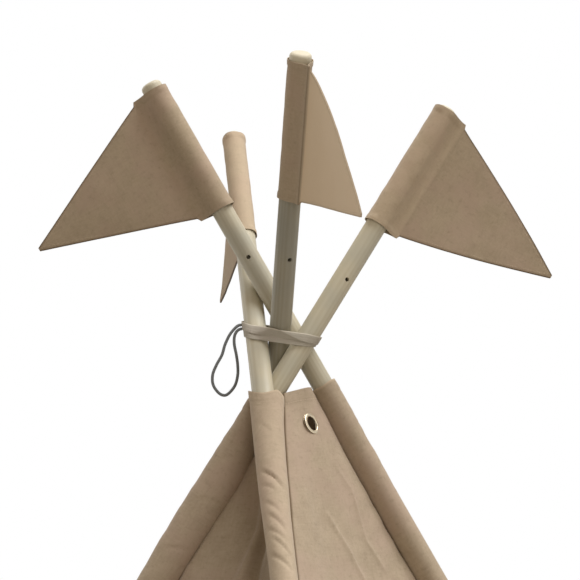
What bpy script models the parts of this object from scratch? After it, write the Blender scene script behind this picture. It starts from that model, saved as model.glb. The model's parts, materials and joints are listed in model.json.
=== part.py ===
"""A child's play tent: four poles cross below their tips, a strap ties them, and canvas hangs between them.

Metres, +Z up, origin on the floor at the middle of the base. The door side faces -Y.
"""

import itertools
import math

import bmesh
import bpy
from mathutils import Matrix, Vector

# Poles
BASE_SIDE = 1.10  # between neighbouring pole axes on the floor
TIE_HEIGHT = 1.32
TIP_RISE = 0.33188  # from the tie up to a pole's tip, along the pole
POLE_LENGTH = math.hypot(BASE_SIDE / 2, BASE_SIDE / 2, TIE_HEIGHT) + TIP_RISE  # from the floor to the tip
POLE_DIAMETER = 0.025
POLE_GAP = 0.0008  # between crossing poles
POLE_CHAMFER = 0.0012
FIRST_FOLD_RISE = 0.060  # of the first fold axis over the tie, along its pole
LATER_FOLD_RISE = 0.130  # of the other two
SECTION_COUNT = 3
HOLE_DIAMETER = 0.005
HOLE_DROP = 0.234  # below the pole's tip
FERRULE_LENGTH = 0.060
FERRULE_WALL = 0.0009
# Where each axis passes the tie, in pole diameters from the middle
CROSSING_SHARES = {
    "front_right": (-1.099, -0.812),
    "back_right": (-0.018, 0.811),
    "back_left": (-0.141, -0.302),
    "front_left": (0.998, 0.358),
}
HOLE_BEARINGS_DEG = {"front_right": 15, "back_right": -105, "back_left": -165, "front_left": 107}

# Feet
FOOT_WALL = 0.0027
FOOT_HEIGHT = 0.028  # along the pole
FOOT_SOLE = 0.012  # from the floor to the pole's end, along the pole
FOOT_CHAMFER = 0.0015

# Canvas
CANVAS = 0.0015
HEM_HEIGHT = 0.045
SLEEVE_SLACK = 0.0008  # the sleeve's bore is this much larger than the pole, all round
SLEEVE_SHIFT = 0.0004  # the sleeve is drawn inward by this much
SLEEVE_DROP = 0.4134  # from the pole's tip to the sleeve's top
SLEEVE_DROP_SHARES = {"front_right": 1.0, "back_right": 0.970, "back_left": 1.030, "front_left": 1.025}
SEAM_REACH = 0.020  # from the pole's axis to the seam
SEAM_GAP = 0.0004
SEAM_SHARE = 0.62  # most of the way to the middle between two poles that a seam takes
PANEL_SAG = 0.022
SAG_START_SHARE = 0.18  # where the sag's half wave starts below the hem
FOLD_DEPTH = 0.004
FOLD_COUNT = 3

# Door
DOOR_HEIGHT = 0.98
DOOR_GAP = 0.004

# Flags
FLAG_INSET = 0.005  # from the pole's tip down to the flag
FLAG_LENGTH = 0.163
FLAG_REACH = 0.205  # from the pole's axis to the pennant's tip
FLAG_TIP_DROP = 0.093  # from the flag's top down to the pennant's tip
FLAG_TIP = 0.004
FLAG_SEAM = 0.027  # from the pole's axis to the flag's seam
FLAG_BOW = 0.006
FLAG_BEARINGS_DEG = {"front_right": 178.1, "back_right": 168.5, "back_left": 192.9, "front_left": 185.4}

# Eyelet
EYELET_DIAMETER = 0.025
EYELET_BORE = 0.017
EYELET_METAL = 0.0008
EYELET_RISE = 0.0022  # height of the rolled rim
EYELET_SEAT = 0.0007  # between the rim and the middle of the curved canvas face
EYELET_DROP = 0.0362  # from the panel's top edge, along the panel
EYELET_ACROSS = 0.0545  # from the seam on the front pole

# Strap
STRAP_WIDTH = 0.008
STRAP_THICKNESS = 0.001
STRAP_TURN_GAP = 0.0008  # between one turn's edge and the next
STRAP_SEAT = 0.0007  # between the poles and the strap
STRAP_TURNS = 2
STRAP_START_DEG = 126
STRAP_SLOPES = (-0.223, 0.0625)  # rise of the tied plane along X and Y

# Hanging loop, a cord
CORD_DIAMETER = 0.0035
CORD_STEP = 0.0085
CORD_ROUTE = (
    (-0.0470, -0.0223, 1.3357), (-0.0508, -0.0245, 1.3348), (-0.0545, -0.0267, 1.3313),
    (-0.0597, -0.0293, 1.3241), (-0.0653, -0.0309, 1.3127), (-0.0693, -0.0313, 1.3013),
    (-0.0755, -0.0335, 1.2899), (-0.0803, -0.0345, 1.2785), (-0.0810, -0.0325, 1.2671),
    (-0.0767, -0.0276, 1.2580), (-0.0717, -0.0230, 1.2552), (-0.0664, -0.0200, 1.2585),
    (-0.0605, -0.0173, 1.2671), (-0.0570, -0.0172, 1.2785), (-0.0558, -0.0189, 1.2899),
    (-0.0559, -0.0214, 1.3013), (-0.0565, -0.0244, 1.3127), (-0.0559, -0.0255, 1.3205),
    (-0.0540, -0.0253, 1.3262), (-0.0505, -0.0240, 1.3300), (-0.0467, -0.0216, 1.3312),
)

# Clearances and mesh detail
CLEARANCE = 0.0003
OVERRUN = 0.010
WELD = 0.000001
ROUND_SIDES = 20
CURVE_STEPS = 36

CORNERS = {"front_right": (1, -1), "back_right": (1, 1), "back_left": (-1, 1), "front_left": (-1, -1)}
SIDES = {
    "right": ("front_right", "back_right"),
    "back": ("back_right", "back_left"),
    "left": ("back_left", "front_left"),
    "front": ("front_left", "front_right"),
}

WOOD = (0.66, 0.56, 0.38)
COTTON = (0.42, 0.33, 0.24)
STRAP_COLOUR = (0.40, 0.36, 0.28)
BRASS = (0.55, 0.46, 0.30)
STEEL = (0.60, 0.60, 0.58)
RUBBER = (0.05, 0.05, 0.05)
CORD_COLOUR = (0.16, 0.17, 0.18)


# Objects and their places

worlds = {}


def place(obj, parent, world):
    """Puts an object at a world matrix under its parent, whose own world matrix is already known."""
    if parent:
        obj.parent = parent
        obj.matrix_basis = worlds[parent.name].inverted() @ world
    else:
        obj.matrix_basis = world
    worlds[obj.name] = world


def frame_matrix(origin, z_axis, x_hint):
    """A right-handed frame at origin whose z runs along z_axis and whose x leans towards x_hint."""
    z = z_axis.normalized()
    x = (x_hint - z * x_hint.dot(z)).normalized()
    return Matrix.Translation(origin) @ Matrix((x, z.cross(x), z)).transposed().to_4x4()


def new_empty(name, parent, world):
    empty = bpy.data.objects.new(name, None)
    bpy.context.scene.collection.objects.link(empty)
    place(empty, parent, world)
    return empty


def new_object(name, bm, parent, world, colour, roughness=0.8, metallic=0.0):
    """Finishes a bmesh as a named object with a material of its own."""
    bmesh.ops.remove_doubles(bm, verts=bm.verts, dist=WELD)
    bmesh.ops.recalc_face_normals(bm, faces=bm.faces)
    mesh = bpy.data.meshes.new(name)
    bm.to_mesh(mesh)
    bm.free()
    mesh.shade_smooth()
    mesh.set_sharp_from_angle(angle=math.radians(40))
    obj = bpy.data.objects.new(name, mesh)
    bpy.context.scene.collection.objects.link(obj)
    place(obj, parent, world)
    paint(obj, colour, roughness, metallic)
    return obj


def paint(obj, colour, roughness, metallic):
    material = bpy.data.materials.new(obj.name)
    material.use_nodes = True
    shader = material.node_tree.nodes["Principled BSDF"]
    shader.inputs["Base Color"].default_value = (*colour, 1)
    shader.inputs["Roughness"].default_value = roughness
    shader.inputs["Metallic"].default_value = metallic
    material.diffuse_color = (*colour, 1)
    obj.data.materials.append(material)


def as_tool(obj):
    """Marks an object as a cutter or a helper, which is not part of the tent."""
    obj.hide_render = True
    obj.display_type = "WIRE"
    return obj


def add_boolean(obj, other, operation):
    modifier = obj.modifiers.new(operation.title(), "BOOLEAN")
    modifier.operation = operation
    modifier.solver = "EXACT"
    modifier.object = other


# Basic forms

def turned(profile, closed=False):
    """A profile of (radius, height) turned about z. An open profile starts and ends on the axis."""
    bm = bmesh.new()
    verts = [bm.verts.new((radius, 0, height)) for radius, height in profile]
    pairs = zip(verts, verts[1:] + verts[:1]) if closed else zip(verts, verts[1:])
    edges = [bm.edges.new(pair) for pair in pairs]
    bmesh.ops.spin(bm, geom=verts + edges, cent=(0, 0, 0), axis=(0, 0, 1),
                   angle=math.tau, steps=ROUND_SIDES, use_duplicate=False)
    return bm


def lofted(rings, closed=False):
    """Skins rings of equally many points. A closed loft joins the last ring to the first, an open one gets caps."""
    bm = bmesh.new()
    loops = [[bm.verts.new(point) for point in ring] for ring in rings]
    for near, far in zip(loops, loops[1:] + loops[:1] if closed else loops[1:]):
        for i in range(len(near)):
            j = (i + 1) % len(near)
            bm.faces.new((near[i], near[j], far[j], far[i]))
    if not closed:
        bm.faces.new(loops[0])
        bm.faces.new(loops[-1])
    return bm


def gridded(rows):
    """A sheet through rows of points, still without thickness."""
    bm = bmesh.new()
    verts = [[bm.verts.new(point) for point in row] for row in rows]
    for near, far in zip(verts, verts[1:]):
        for i in range(len(near) - 1):
            bm.faces.new((near[i], near[i + 1], far[i + 1], far[i]))
    return bm


def thicken(obj, thickness):
    """Gives a sheet its thickness, half to each side."""
    modifier = obj.modifiers.new("Thickness", "SOLIDIFY")
    modifier.thickness = thickness
    modifier.offset = 0
    modifier.use_even_offset = True


# Where the poles stand

def pole_axes():
    """Each pole's floor point and direction. Poles that come too close at the crossing are moved apart along their
    common perpendicular until every pair leaves the pole gap."""
    feet = {name: Vector((x * BASE_SIDE / 2, y * BASE_SIDE / 2, 0)) for name, (x, y) in CORNERS.items()}
    ties = {name: Vector((x * POLE_DIAMETER, y * POLE_DIAMETER, TIE_HEIGHT))
            for name, (x, y) in CROSSING_SHARES.items()}
    for _ in range(200):
        for one, other in itertools.combinations(CORNERS, 2):
            across = (ties[one] - feet[one]).cross(ties[other] - feet[other]).normalized()
            apart = (ties[other] - ties[one]).dot(across)
            short = POLE_DIAMETER + POLE_GAP - abs(apart)
            if short > 0:
                level = Vector((across.x, across.y, 0))
                push = level * (math.copysign(short / 2, apart) / level.length_squared)
                ties[one] -= push
                ties[other] += push
    return {name: (feet[name], (ties[name] - feet[name]).normalized()) for name in CORNERS}


AXES = pole_axes()


def on_axis(corner, along):
    foot, direction = AXES[corner]
    return foot + direction * along


def at_height(corner, height):
    """Distance along a pole from the floor to a height."""
    return height / AXES[corner][1].z


def pole_matrix(corner):
    """A pole's frame: z along it from the floor, x outward."""
    foot, direction = AXES[corner]
    return frame_matrix(foot, direction, foot)


def axis_distance(corner, along, other):
    """From a point on one pole's axis to another pole's axis."""
    foot, direction = AXES[other]
    return (on_axis(corner, along) - foot).cross(direction).length


def fold_hinge(parent, child, rise):
    """The fold axis between two neighbours: square to both poles, through the parent's axis above the tie, signed so
    that a positive turn closes the child on its parent. Returns the point, the axis and the angle."""
    parent_way, child_way = AXES[parent][1], AXES[child][1]
    axis = child_way.cross(parent_way)
    return on_axis(parent, at_height(parent, TIE_HEIGHT) + rise), axis.normalized(), parent_way.angle(child_way)


# Poles, ferrules and feet

POLE_RADIUS = POLE_DIAMETER / 2
FERRULE_BORE = POLE_RADIUS - FERRULE_WALL
TENON_RADIUS = FERRULE_BORE - CLEARANCE
TENON_LENGTH = FERRULE_LENGTH / 2 + CLEARANCE


def pole_section(corner, name, start, end, has_lower_tenon, has_upper_tenon):
    """One length of a pole between two distances along its axis, with a reduced tenon at each jointed end."""
    length = end - start
    if has_lower_tenon:
        profile = [(0, 0), (TENON_RADIUS, 0), (TENON_RADIUS, TENON_LENGTH), (POLE_RADIUS, TENON_LENGTH)]
    else:
        profile = [(0, 0), (POLE_RADIUS - POLE_CHAMFER, 0), (POLE_RADIUS, POLE_CHAMFER)]
    if has_upper_tenon:
        shoulder = length - TENON_LENGTH
        profile += [(POLE_RADIUS, shoulder), (TENON_RADIUS, shoulder), (TENON_RADIUS, length), (0, length)]
    else:
        profile += [(POLE_RADIUS, length - POLE_CHAMFER), (POLE_RADIUS - POLE_CHAMFER, length), (0, length)]
    world = pole_matrix(corner) @ Matrix.Translation((0, 0, start))
    return new_object(f"{corner}_pole_{name}", turned(profile), frames[corner], world, WOOD, 0.6)


def drill_hole(section, corner):
    """The drilled hole through the bare upper length of a pole."""
    bm = bmesh.new()
    bmesh.ops.create_cone(bm, cap_ends=True, segments=12, radius1=HOLE_DIAMETER / 2, radius2=HOLE_DIAMETER / 2,
                          depth=POLE_DIAMETER + 2 * OVERRUN)
    bearing = Matrix.Rotation(math.radians(HOLE_BEARINGS_DEG[corner]), 4, "Z")
    world = (pole_matrix(corner) @ Matrix.Translation((0, 0, POLE_LENGTH - HOLE_DROP)) @ bearing
             @ Matrix.Rotation(math.pi / 2, 4, "Y"))
    drill = new_object(f"{corner}_drill", bm, frames[corner], world, WOOD)
    add_boolean(section, as_tool(drill), "DIFFERENCE")


def ferrule(corner, name, joint):
    """The metal tube, flush with the wood, that two tenons share."""
    half = FERRULE_LENGTH / 2
    profile = [(POLE_RADIUS, half), (POLE_RADIUS, -half), (FERRULE_BORE, -half), (FERRULE_BORE, half)]
    world = pole_matrix(corner) @ Matrix.Translation((0, 0, joint))
    new_object(f"{corner}_ferrule_{name}", turned(profile, closed=True), frames[corner], world, STEEL, 0.35, 1.0)


def foot(corner, floor):
    """A rubber cap over the pole's end, cut level where it stands."""
    inner = POLE_RADIUS + CLEARANCE
    outer = inner + FOOT_WALL
    deep = -(outer + OVERRUN)
    seat = FOOT_SOLE - CLEARANCE
    profile = [(0, deep), (outer, deep), (outer, FOOT_HEIGHT - FOOT_CHAMFER), (outer - FOOT_CHAMFER, FOOT_HEIGHT),
               (inner, FOOT_HEIGHT), (inner, seat), (0, seat)]
    cap = new_object(f"{corner}_foot", turned(profile), frames[corner], pole_matrix(corner), RUBBER, 0.9)
    add_boolean(cap, floor, "DIFFERENCE")


def floor_tool():
    """A slab below the floor, which cuts the feet level."""
    depth = POLE_DIAMETER + FOOT_SOLE + 2 * OVERRUN
    bm = bmesh.new()
    bmesh.ops.create_cube(bm, size=1)
    width = BASE_SIDE + 4 * POLE_DIAMETER + OVERRUN
    bmesh.ops.scale(bm, vec=(width, width, depth), verts=bm.verts)
    return as_tool(new_object("floor_cutter", bm, None, Matrix.Translation((0, 0, -depth / 2)), RUBBER))


def pole(corner, floor):
    """Three jointed sections, two ferrules and a foot."""
    step = POLE_LENGTH / SECTION_COUNT
    gap = CLEARANCE / 2
    pole_section(corner, "lower", FOOT_SOLE, step - gap, False, True)
    pole_section(corner, "middle", step + gap, 2 * step - gap, True, True)
    upper = pole_section(corner, "upper", 2 * step + gap, POLE_LENGTH, True, False)
    drill_hole(upper, corner)
    ferrule(corner, "lower", step)
    ferrule(corner, "upper", 2 * step)
    foot(corner, floor)


# Sleeves sewn round the poles

SLEEVE_BORE = POLE_RADIUS + SLEEVE_SLACK
SLEEVE_OUTER = SLEEVE_BORE + CANVAS
FLAG_BORE = POLE_RADIUS + CLEARANCE + SLEEVE_SHIFT / 2
FLAG_OUTER = FLAG_BORE + CANVAS


def tail_bearings(bearing, reach, outer):
    """The angles at which a seam's outline has points: where it leaves the round, along it, and at its blunt end."""
    apex = reach + CANVAS / 2
    spread = math.acos(outer / apex)
    half_end = CANVAS / 2 * outer / math.sqrt(apex ** 2 - outer ** 2)
    end = min(math.atan2(half_end, reach), spread / 2)
    return [bearing + turn for turn in (-spread, -0.7 * spread, -0.4 * spread, -end, end,
                                        0.4 * spread, 0.7 * spread, spread)]


def outline_radius(angle, tails, outer):
    """How far the outline lies from its centre: on the round, or on the tangents that run out to a blunt seam."""
    radius = outer
    for bearing, reach in tails:
        apex = reach + CANVAS / 2
        spread = math.acos(outer / apex)
        off = abs((angle - bearing + math.pi) % math.tau - math.pi)
        if off < spread:
            radius = min(outer / math.cos(spread - off), reach / math.cos(off))
    return radius


def sleeve_outline(tails, bore, outer, arc_points):
    """Outer and inner outlines of a sleeve, point for point at the same angles. arc_points says how many points lie
    on each round stretch that follows a seam."""
    angles = []
    for index, (bearing, reach) in enumerate(tails):
        angles += tail_bearings(bearing, reach, outer)
        next_bearing, next_reach = tails[(index + 1) % len(tails)]
        start = angles[-1]
        end = tail_bearings(next_bearing, next_reach, outer)[0]
        end += math.tau * (end <= start)
        count = arc_points[index]
        angles += [start + (end - start) * (i + 1) / (count + 1) for i in range(count)]
    ways = [(Vector((math.cos(angle), math.sin(angle), 0)), angle) for angle in angles]
    return ([way * outline_radius(angle, tails, outer) for way, angle in ways], [way * bore for way, _ in ways])


def seam_way(corner, neighbour):
    """The direction from a pole to a neighbour's seam, square to the pole, taken half-way up the canvas."""
    height = TIE_HEIGHT / 2
    way = on_axis(neighbour, at_height(neighbour, height)) - on_axis(corner, at_height(corner, height))
    direction = AXES[corner][1]
    return (way - direction * way.dot(direction)).normalized()


def half_gap(corner, neighbour, along):
    return axis_distance(corner, along, neighbour) / 2


def seam_reach(corner, neighbour, along):
    """How far the seam stands from the sleeve's middle. It draws in where the two poles come together."""
    return max(SLEEVE_OUTER, min(SEAM_REACH, SEAM_SHARE * half_gap(corner, neighbour, along)))


def highest(is_clear, low, high):
    """The largest distance along a pole at which is_clear still holds."""
    if is_clear(high):
        return high
    for _ in range(40):
        middle = (low + high) / 2
        low, high = (middle, high) if is_clear(middle) else (low, middle)
    return low


def wanted_top(corner):
    return POLE_LENGTH - SLEEVE_DROP * SLEEVE_DROP_SHARES[corner]


def sleeve_top(corner):
    """Where the sleeve ends along its pole: at its own height, or lower where a sleeve that ends higher, or the bare
    pole over one that ends lower, is in the way."""
    top = wanted_top(corner)
    reach = SLEEVE_OUTER + SLEEVE_SHIFT
    for other in CORNERS:
        if other != corner:
            room = reach + CLEARANCE + (POLE_RADIUS if wanted_top(corner) > wanted_top(other) else reach)
            top = highest(lambda along: axis_distance(corner, along, other) > room,
                          at_height(corner, TIE_HEIGHT / 2), top)
    return top


def panel_top(corner, neighbour):
    """Where a panel's edge ends along a pole: at the sleeve's top, or where the seam starts to draw in."""
    return highest(lambda along: SEAM_SHARE * half_gap(corner, neighbour, along) >= SEAM_REACH,
                   at_height(corner, TIE_HEIGHT / 2), SLEEVE_TOPS[corner])


SLEEVE_TOPS = {corner: sleeve_top(corner) for corner in CORNERS}


def sleeve_middle(corner, along):
    """The sleeve's own centre line, drawn a little inward from the pole's axis."""
    return on_axis(corner, along) - pole_matrix(corner).col[0].to_3d() * SLEEVE_SHIFT


def sleeve_ring(corner, along, level=None):
    """Outer and inner rings of a sleeve in the world, square to the pole, or slid along it to lie level."""
    matrix = pole_matrix(corner)
    neighbours = [other for pair in SIDES.values() if corner in pair for other in pair if other != corner]
    tails = []
    for other in neighbours:
        way = matrix.to_3x3().transposed() @ seam_way(corner, other)
        tails.append((math.atan2(way.y, way.x) % math.tau, seam_reach(corner, other, along)))
    rings = []
    for outline in sleeve_outline(sorted(tails), SLEEVE_BORE, SLEEVE_OUTER, (2, 12)):
        ring = [sleeve_middle(corner, along) + matrix.to_3x3() @ point for point in outline]
        if level is not None:
            direction = matrix.col[2].to_3d()
            ring = [point + direction * ((level - point.z) / direction.z) for point in ring]
        rings.append(ring)
    return rings


def sleeve(corner):
    """Canvas round one pole, pinched to a seam towards each neighbour, cut level at the hem."""
    top = SLEEVE_TOPS[corner]
    neighbours = [other for pair in SIDES.values() if corner in pair for other in pair if other != corner]
    stops = [panel_top(corner, other) for other in neighbours]
    stations = [sleeve_ring(corner, at_height(corner, HEM_HEIGHT), HEM_HEIGHT)]
    stations += [sleeve_ring(corner, along) for along in sorted(stops) if top - along > CLEARANCE]
    stations.append(sleeve_ring(corner, top))
    outer = [ring[0] for ring in stations]
    inner = [ring[1] for ring in stations]
    inverse = pole_matrix(corner).inverted()
    rings = [[inverse @ point for point in ring] for ring in outer + inner[::-1]]
    new_object(f"{corner}_sleeve", lofted(rings, closed=True), frames[corner], pole_matrix(corner), COTTON, 0.95)


# Panels and the door

def seam_point(side, index, along):
    """A point of a panel's edge, beside the seam of one of its two poles."""
    corner, neighbour = SIDES[side][index], SIDES[side][1 - index]
    reach = seam_reach(corner, neighbour, along) + SEAM_GAP
    return sleeve_middle(corner, along) + seam_way(corner, neighbour) * reach


def seam_span(side, index):
    """Distances along a pole of a panel edge's hem and top."""
    corner, neighbour = SIDES[side][index], SIDES[side][1 - index]
    low = at_height(corner, HEM_HEIGHT - seam_point(side, index, 0).z)
    return low, panel_top(corner, neighbour)


def side_edges(side, up):
    """The two seam points of a side at the same share of its height."""
    points = []
    for index in (0, 1):
        low, high = seam_span(side, index)
        points.append(seam_point(side, index, low + (high - low) * up))
    return points


def inward_way(side):
    """A side's own normal, towards the tent's middle."""
    low, high = side_edges(side, 0), side_edges(side, 1)
    normal = (low[1] - low[0]).cross(high[0] + high[1] - low[0] - low[1]).normalized()
    return normal if normal.dot(low[0]) < 0 else -normal


def side_point(side, across, up):
    """A point of a side's canvas: straight between its seams, drawn inward by its weight as a half wave across and
    up, with soft folds that run up to the crossing."""
    left, right = side_edges(side, up)
    bulge = math.sin(math.pi * across)
    sag = PANEL_SAG * bulge * math.sin(math.pi * (SAG_START_SHARE + (1 - SAG_START_SHARE) * up))
    fold = FOLD_DEPTH * bulge * math.sin(math.tau * FOLD_COUNT * across) * math.sin(math.pi * (1 + up) / 2)
    return left.lerp(right, across) + inward_way(side) * (sag + fold)


def side_height(side):
    """Length of a side's canvas up its middle."""
    low, high = side_edges(side, 0), side_edges(side, 1)
    return (high[0] + high[1] - low[0] - low[1]).length / 2


def canvas_sheet(name, side, body, across_range, up_range, columns, rows, world=None):
    """A thickened part of a side's canvas. across_range maps a share of height to the sheet's two edges."""
    points = []
    for j in range(rows + 1):
        up = up_range[0] + (up_range[1] - up_range[0]) * j / rows
        start, end = across_range(up)
        points.append([side_point(side, start + (end - start) * i / columns, up) for i in range(columns + 1)])
    world = world or pole_matrix(body)
    inverse = world.inverted()
    sheet = new_object(name, gridded([[inverse @ point for point in row] for row in points]),
                       hinges.get(name, frames[body]), world, COTTON, 0.95)
    thicken(sheet, CANVAS)
    return sheet


def whole(_up):
    return 0, 1


def eyelet_matrix():
    """The eyelet's frame on the right panel: z out of the canvas, found by its drop and distance from the seam."""
    up = 1 - EYELET_DROP / side_height("right")
    width = (side_edges("right", up)[1] - side_edges("right", up)[0]).length
    across = EYELET_ACROSS / width
    nudge = EYELET_DIAMETER / 4
    along = (side_point("right", across + nudge / width, up) - side_point("right", across - nudge / width, up))
    rise = nudge / side_height("right")
    upward = side_point("right", across, up + rise) - side_point("right", across, up - rise)
    centre = side_point("right", across, up)
    return frame_matrix(centre, along.cross(upward), upward)


def eyelet(panel):
    """A rolled brass ring through the canvas: a barrel with a rounded rim on each face."""
    world = eyelet_matrix()
    bore, rim = EYELET_BORE / 2, EYELET_DIAMETER / 2
    face = CANVAS / 2 + EYELET_SEAT
    middle = (bore + rim) / 2
    half = [(bore, face + EYELET_RISE / 2), (bore + EYELET_METAL / 2, face + EYELET_RISE * 0.85),
            (middle, face + EYELET_RISE), (rim - EYELET_METAL / 2, face + EYELET_RISE * 0.6),
            (rim, face + EYELET_METAL / 4), (rim - EYELET_METAL / 4, face), (bore + EYELET_METAL, face)]
    profile = half + [(radius, -height) for radius, height in reversed(half)]
    new_object("eyelet", turned(profile, closed=True), frames["front_right"], world, BRASS, 0.35, 1.0)
    bm = bmesh.new()
    hole = bore + EYELET_METAL + CLEARANCE
    bmesh.ops.create_cone(bm, cap_ends=True, segments=ROUND_SIDES, radius1=hole, radius2=hole, depth=2 * OVERRUN)
    cutter = as_tool(new_object("eyelet_cutter", bm, frames["front_right"], world, BRASS))
    add_boolean(panel, cutter, "DIFFERENCE")


def door_split():
    """The share of the front's height where the fixed canvas ends above the door."""
    low, high = side_edges("front", 0), side_edges("front", 1)
    return (DOOR_HEIGHT - low[0].z) / (high[0].z - low[0].z)


def flap_hinge(index):
    """A door flap's axis: the outer edge of the canvas along its seam. A positive turn opens it outward."""
    low, high = seam_span("front", index)
    base, top = seam_point("front", index, low), seam_point("front", index, high)
    inward = inward_way("front")
    axis = (top - base).normalized() * (-1 if index == 0 else 1)
    return frame_matrix(base - inward * (CANVAS / 2), axis, -inward)


def door():
    """The fixed canvas above the door and the two flaps that meet in the middle below it."""
    split = door_split()
    gap_up = DOOR_GAP / side_height("front")
    canvas_sheet("door_top", "front", "front_right", whole, (split, 1), 8, 4)

    def half_door(index):
        def span(up):
            width = (side_edges("front", up)[1] - side_edges("front", up)[0]).length
            inner = 0.5 - DOOR_GAP / 2 / width
            return (0, inner) if index == 0 else (1 - inner, 1)
        return span

    for index, name in enumerate(("door_flap_left", "door_flap_right")):
        canvas_sheet(name, "front", SIDES["front"][index], half_door(index), (0, split - gap_up), 8, 8,
                     worlds[name + "_hinge"])


# Flags

def flag(corner):
    """A sleeve over the pole's end, pinched to a seam, and a bowed pennant that tapers from the seam to its tip."""
    bearing = Matrix.Rotation(math.radians(FLAG_BEARINGS_DEG[corner]), 4, "Z")
    world = pole_matrix(corner) @ Matrix.Translation((0, 0, POLE_LENGTH - FLAG_INSET)) @ bearing
    outer, inner = sleeve_outline([(0, FLAG_SEAM)], FLAG_BORE, FLAG_OUTER, (14,))
    levels = (Vector((0, 0, 0)), Vector((0, 0, -FLAG_LENGTH)))
    rings = [[point + level for point in outer] for level in levels]
    rings += [[point + level for point in inner] for level in levels[::-1]]
    cloth = new_object(f"{corner}_flag", lofted(rings, closed=True), frames[corner], world, COTTON, 0.95)
    rows = []
    columns = 8
    start = FLAG_SEAM - CANVAS
    for i in range(columns + 1):
        share = i / columns
        top = -FLAG_TIP_DROP * share + FLAG_TIP / 2 * share
        low = -FLAG_LENGTH + (FLAG_LENGTH - FLAG_TIP_DROP - FLAG_TIP / 2) * share
        x = start + (FLAG_REACH - start) * share
        trim = CANVAS * (1 - share)
        rows.append([Vector((x, FLAG_BOW * math.sin(math.pi * share) * math.sin(math.pi * (0.25 + 0.5 * j / 3)),
                             top - trim + (low - top + 2 * trim) * j / 3)) for j in range(4)])
    pennant = as_tool(new_object(f"{corner}_pennant", gridded(rows), frames[corner], world, COTTON))
    thicken(pennant, CANVAS * 0.9)
    add_boolean(cloth, pennant, "UNION")


# Strap and hanging loop

def tie_frame():
    """The tied plane: origin at the crossing, z square to the plane."""
    normal = Vector((-STRAP_SLOPES[0], -STRAP_SLOPES[1], 1))
    return frame_matrix(Vector((0, 0, TIE_HEIGHT)), normal, Vector((1, 0, 0)))


def bundle_points(level):
    """Points of the poles' outlines at a level over the tied plane, in the plane's frame."""
    into = tie_frame().inverted()
    points = []
    for corner in CORNERS:
        matrix = into @ pole_matrix(corner)
        way = matrix.col[2].to_3d()
        for i in range(ROUND_SIDES):
            turn = math.tau * i / ROUND_SIDES
            rim = matrix @ Vector((POLE_RADIUS * math.cos(turn), POLE_RADIUS * math.sin(turn), 0))
            points.append(rim + way * ((level - rim.z) / way.z))
    return points


def strap_edge(turns, level):
    """A point of the strap's edge and the way out of the bundle there: the band is taut, so it lies on the bundle's
    outline at its own level, and its lower and upper edges follow the slanting poles."""
    angle = math.radians(STRAP_START_DEG) + math.tau * turns
    way = Vector((math.cos(angle), math.sin(angle), 0))
    support = max(bundle_points(level), key=lambda point: point.dot(way))
    return support + way * (STRAP_SEAT + STRAP_THICKNESS / 2), way


def strap():
    """One flat band wound round the bundle, turn below turn. Prints its least gap to itself."""
    climb = STRAP_WIDTH + STRAP_TURN_GAP
    steps = round(STRAP_TURNS * CURVE_STEPS)
    rings, lower, upper = [], [], []
    for i in range(steps + 1):
        turns = STRAP_TURNS * i / steps
        middle = climb * (STRAP_TURNS / 2 - turns)
        low, way = strap_edge(turns, middle - STRAP_WIDTH / 2)
        high, _ = strap_edge(turns, middle + STRAP_WIDTH / 2)
        out = way * (STRAP_THICKNESS / 2)
        rings.append([low - out, low + out, high + out, high - out])
        lower.append(low)
        upper.append(high)
    print("strap's least gap to itself, mm:", round(turn_gap(lower, upper) * 1000, 3))
    new_object("tie_strap", lofted(rings), frames["front_right"], tie_frame(), STRAP_COLOUR, 0.85)


def turn_gap(lower, upper):
    """The least distance from the points of the band's lower edge to the chords of the next turn's upper edge."""
    least = BASE_SIDE
    for i, point in enumerate(lower):
        for j in range(i + CURVE_STEPS // 2, len(upper) - 1):
            start, chord = upper[j], upper[j + 1] - upper[j]
            share = (point - start).dot(chord) / max(chord.length_squared, WELD ** 2)
            least = min(least, (start + chord * min(1, max(0, share)) - point).length)
    return least


def smooth_route(route, step):
    """Points at about equal steps along a smooth curve through the route."""
    points = [Vector(point) for point in route]
    ends = [2 * points[0] - points[1], *points, 2 * points[-1] - points[-2]]
    fine = []
    for before, start, end, after in zip(ends, ends[1:], ends[2:], ends[3:]):
        for i in range(12):
            t = i / 12
            fine.append(0.5 * (2 * start + (end - before) * t + (2 * before - 5 * start + 4 * end - after) * t ** 2
                               + (3 * start - before - 3 * end + after) * t ** 3))
    fine.append(points[-1])
    lengths = list(itertools.accumulate(((b - a).length for a, b in zip(fine, fine[1:])), initial=0))
    count = round(lengths[-1] / step)
    picked = []
    for i in range(count + 1):
        wanted = lengths[-1] * i / count
        j = next(k for k, length in enumerate(lengths) if length >= wanted * (1 - WELD))
        picked.append(fine[j])
    return picked


def hanging_loop():
    """The cord loop that leaves the strap on the left and hangs beside the front right pole."""
    route = smooth_route(CORD_ROUTE, CORD_STEP)
    curve = bpy.data.curves.new("hanging_loop", "CURVE")
    curve.dimensions = "3D"
    curve.bevel_depth = CORD_DIAMETER / 2
    curve.bevel_resolution = 2
    curve.use_fill_caps = True
    spline = curve.splines.new("POLY")
    spline.points.add(len(route) - 1)
    for point, place_at in zip(spline.points, route):
        point.co = (*place_at, 1)
    obj = bpy.data.objects.new("hanging_loop", curve)
    bpy.context.scene.collection.objects.link(obj)
    place(obj, frames["front_right"], Matrix())
    paint(obj, CORD_COLOUR, 0.7, 0.0)
    print("cord length, m:", round(sum((b - a).length for a, b in zip(route, route[1:])), 4))


# Assembly

def clear_scene():
    for obj in list(bpy.data.objects):
        bpy.data.objects.remove(obj)


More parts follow.
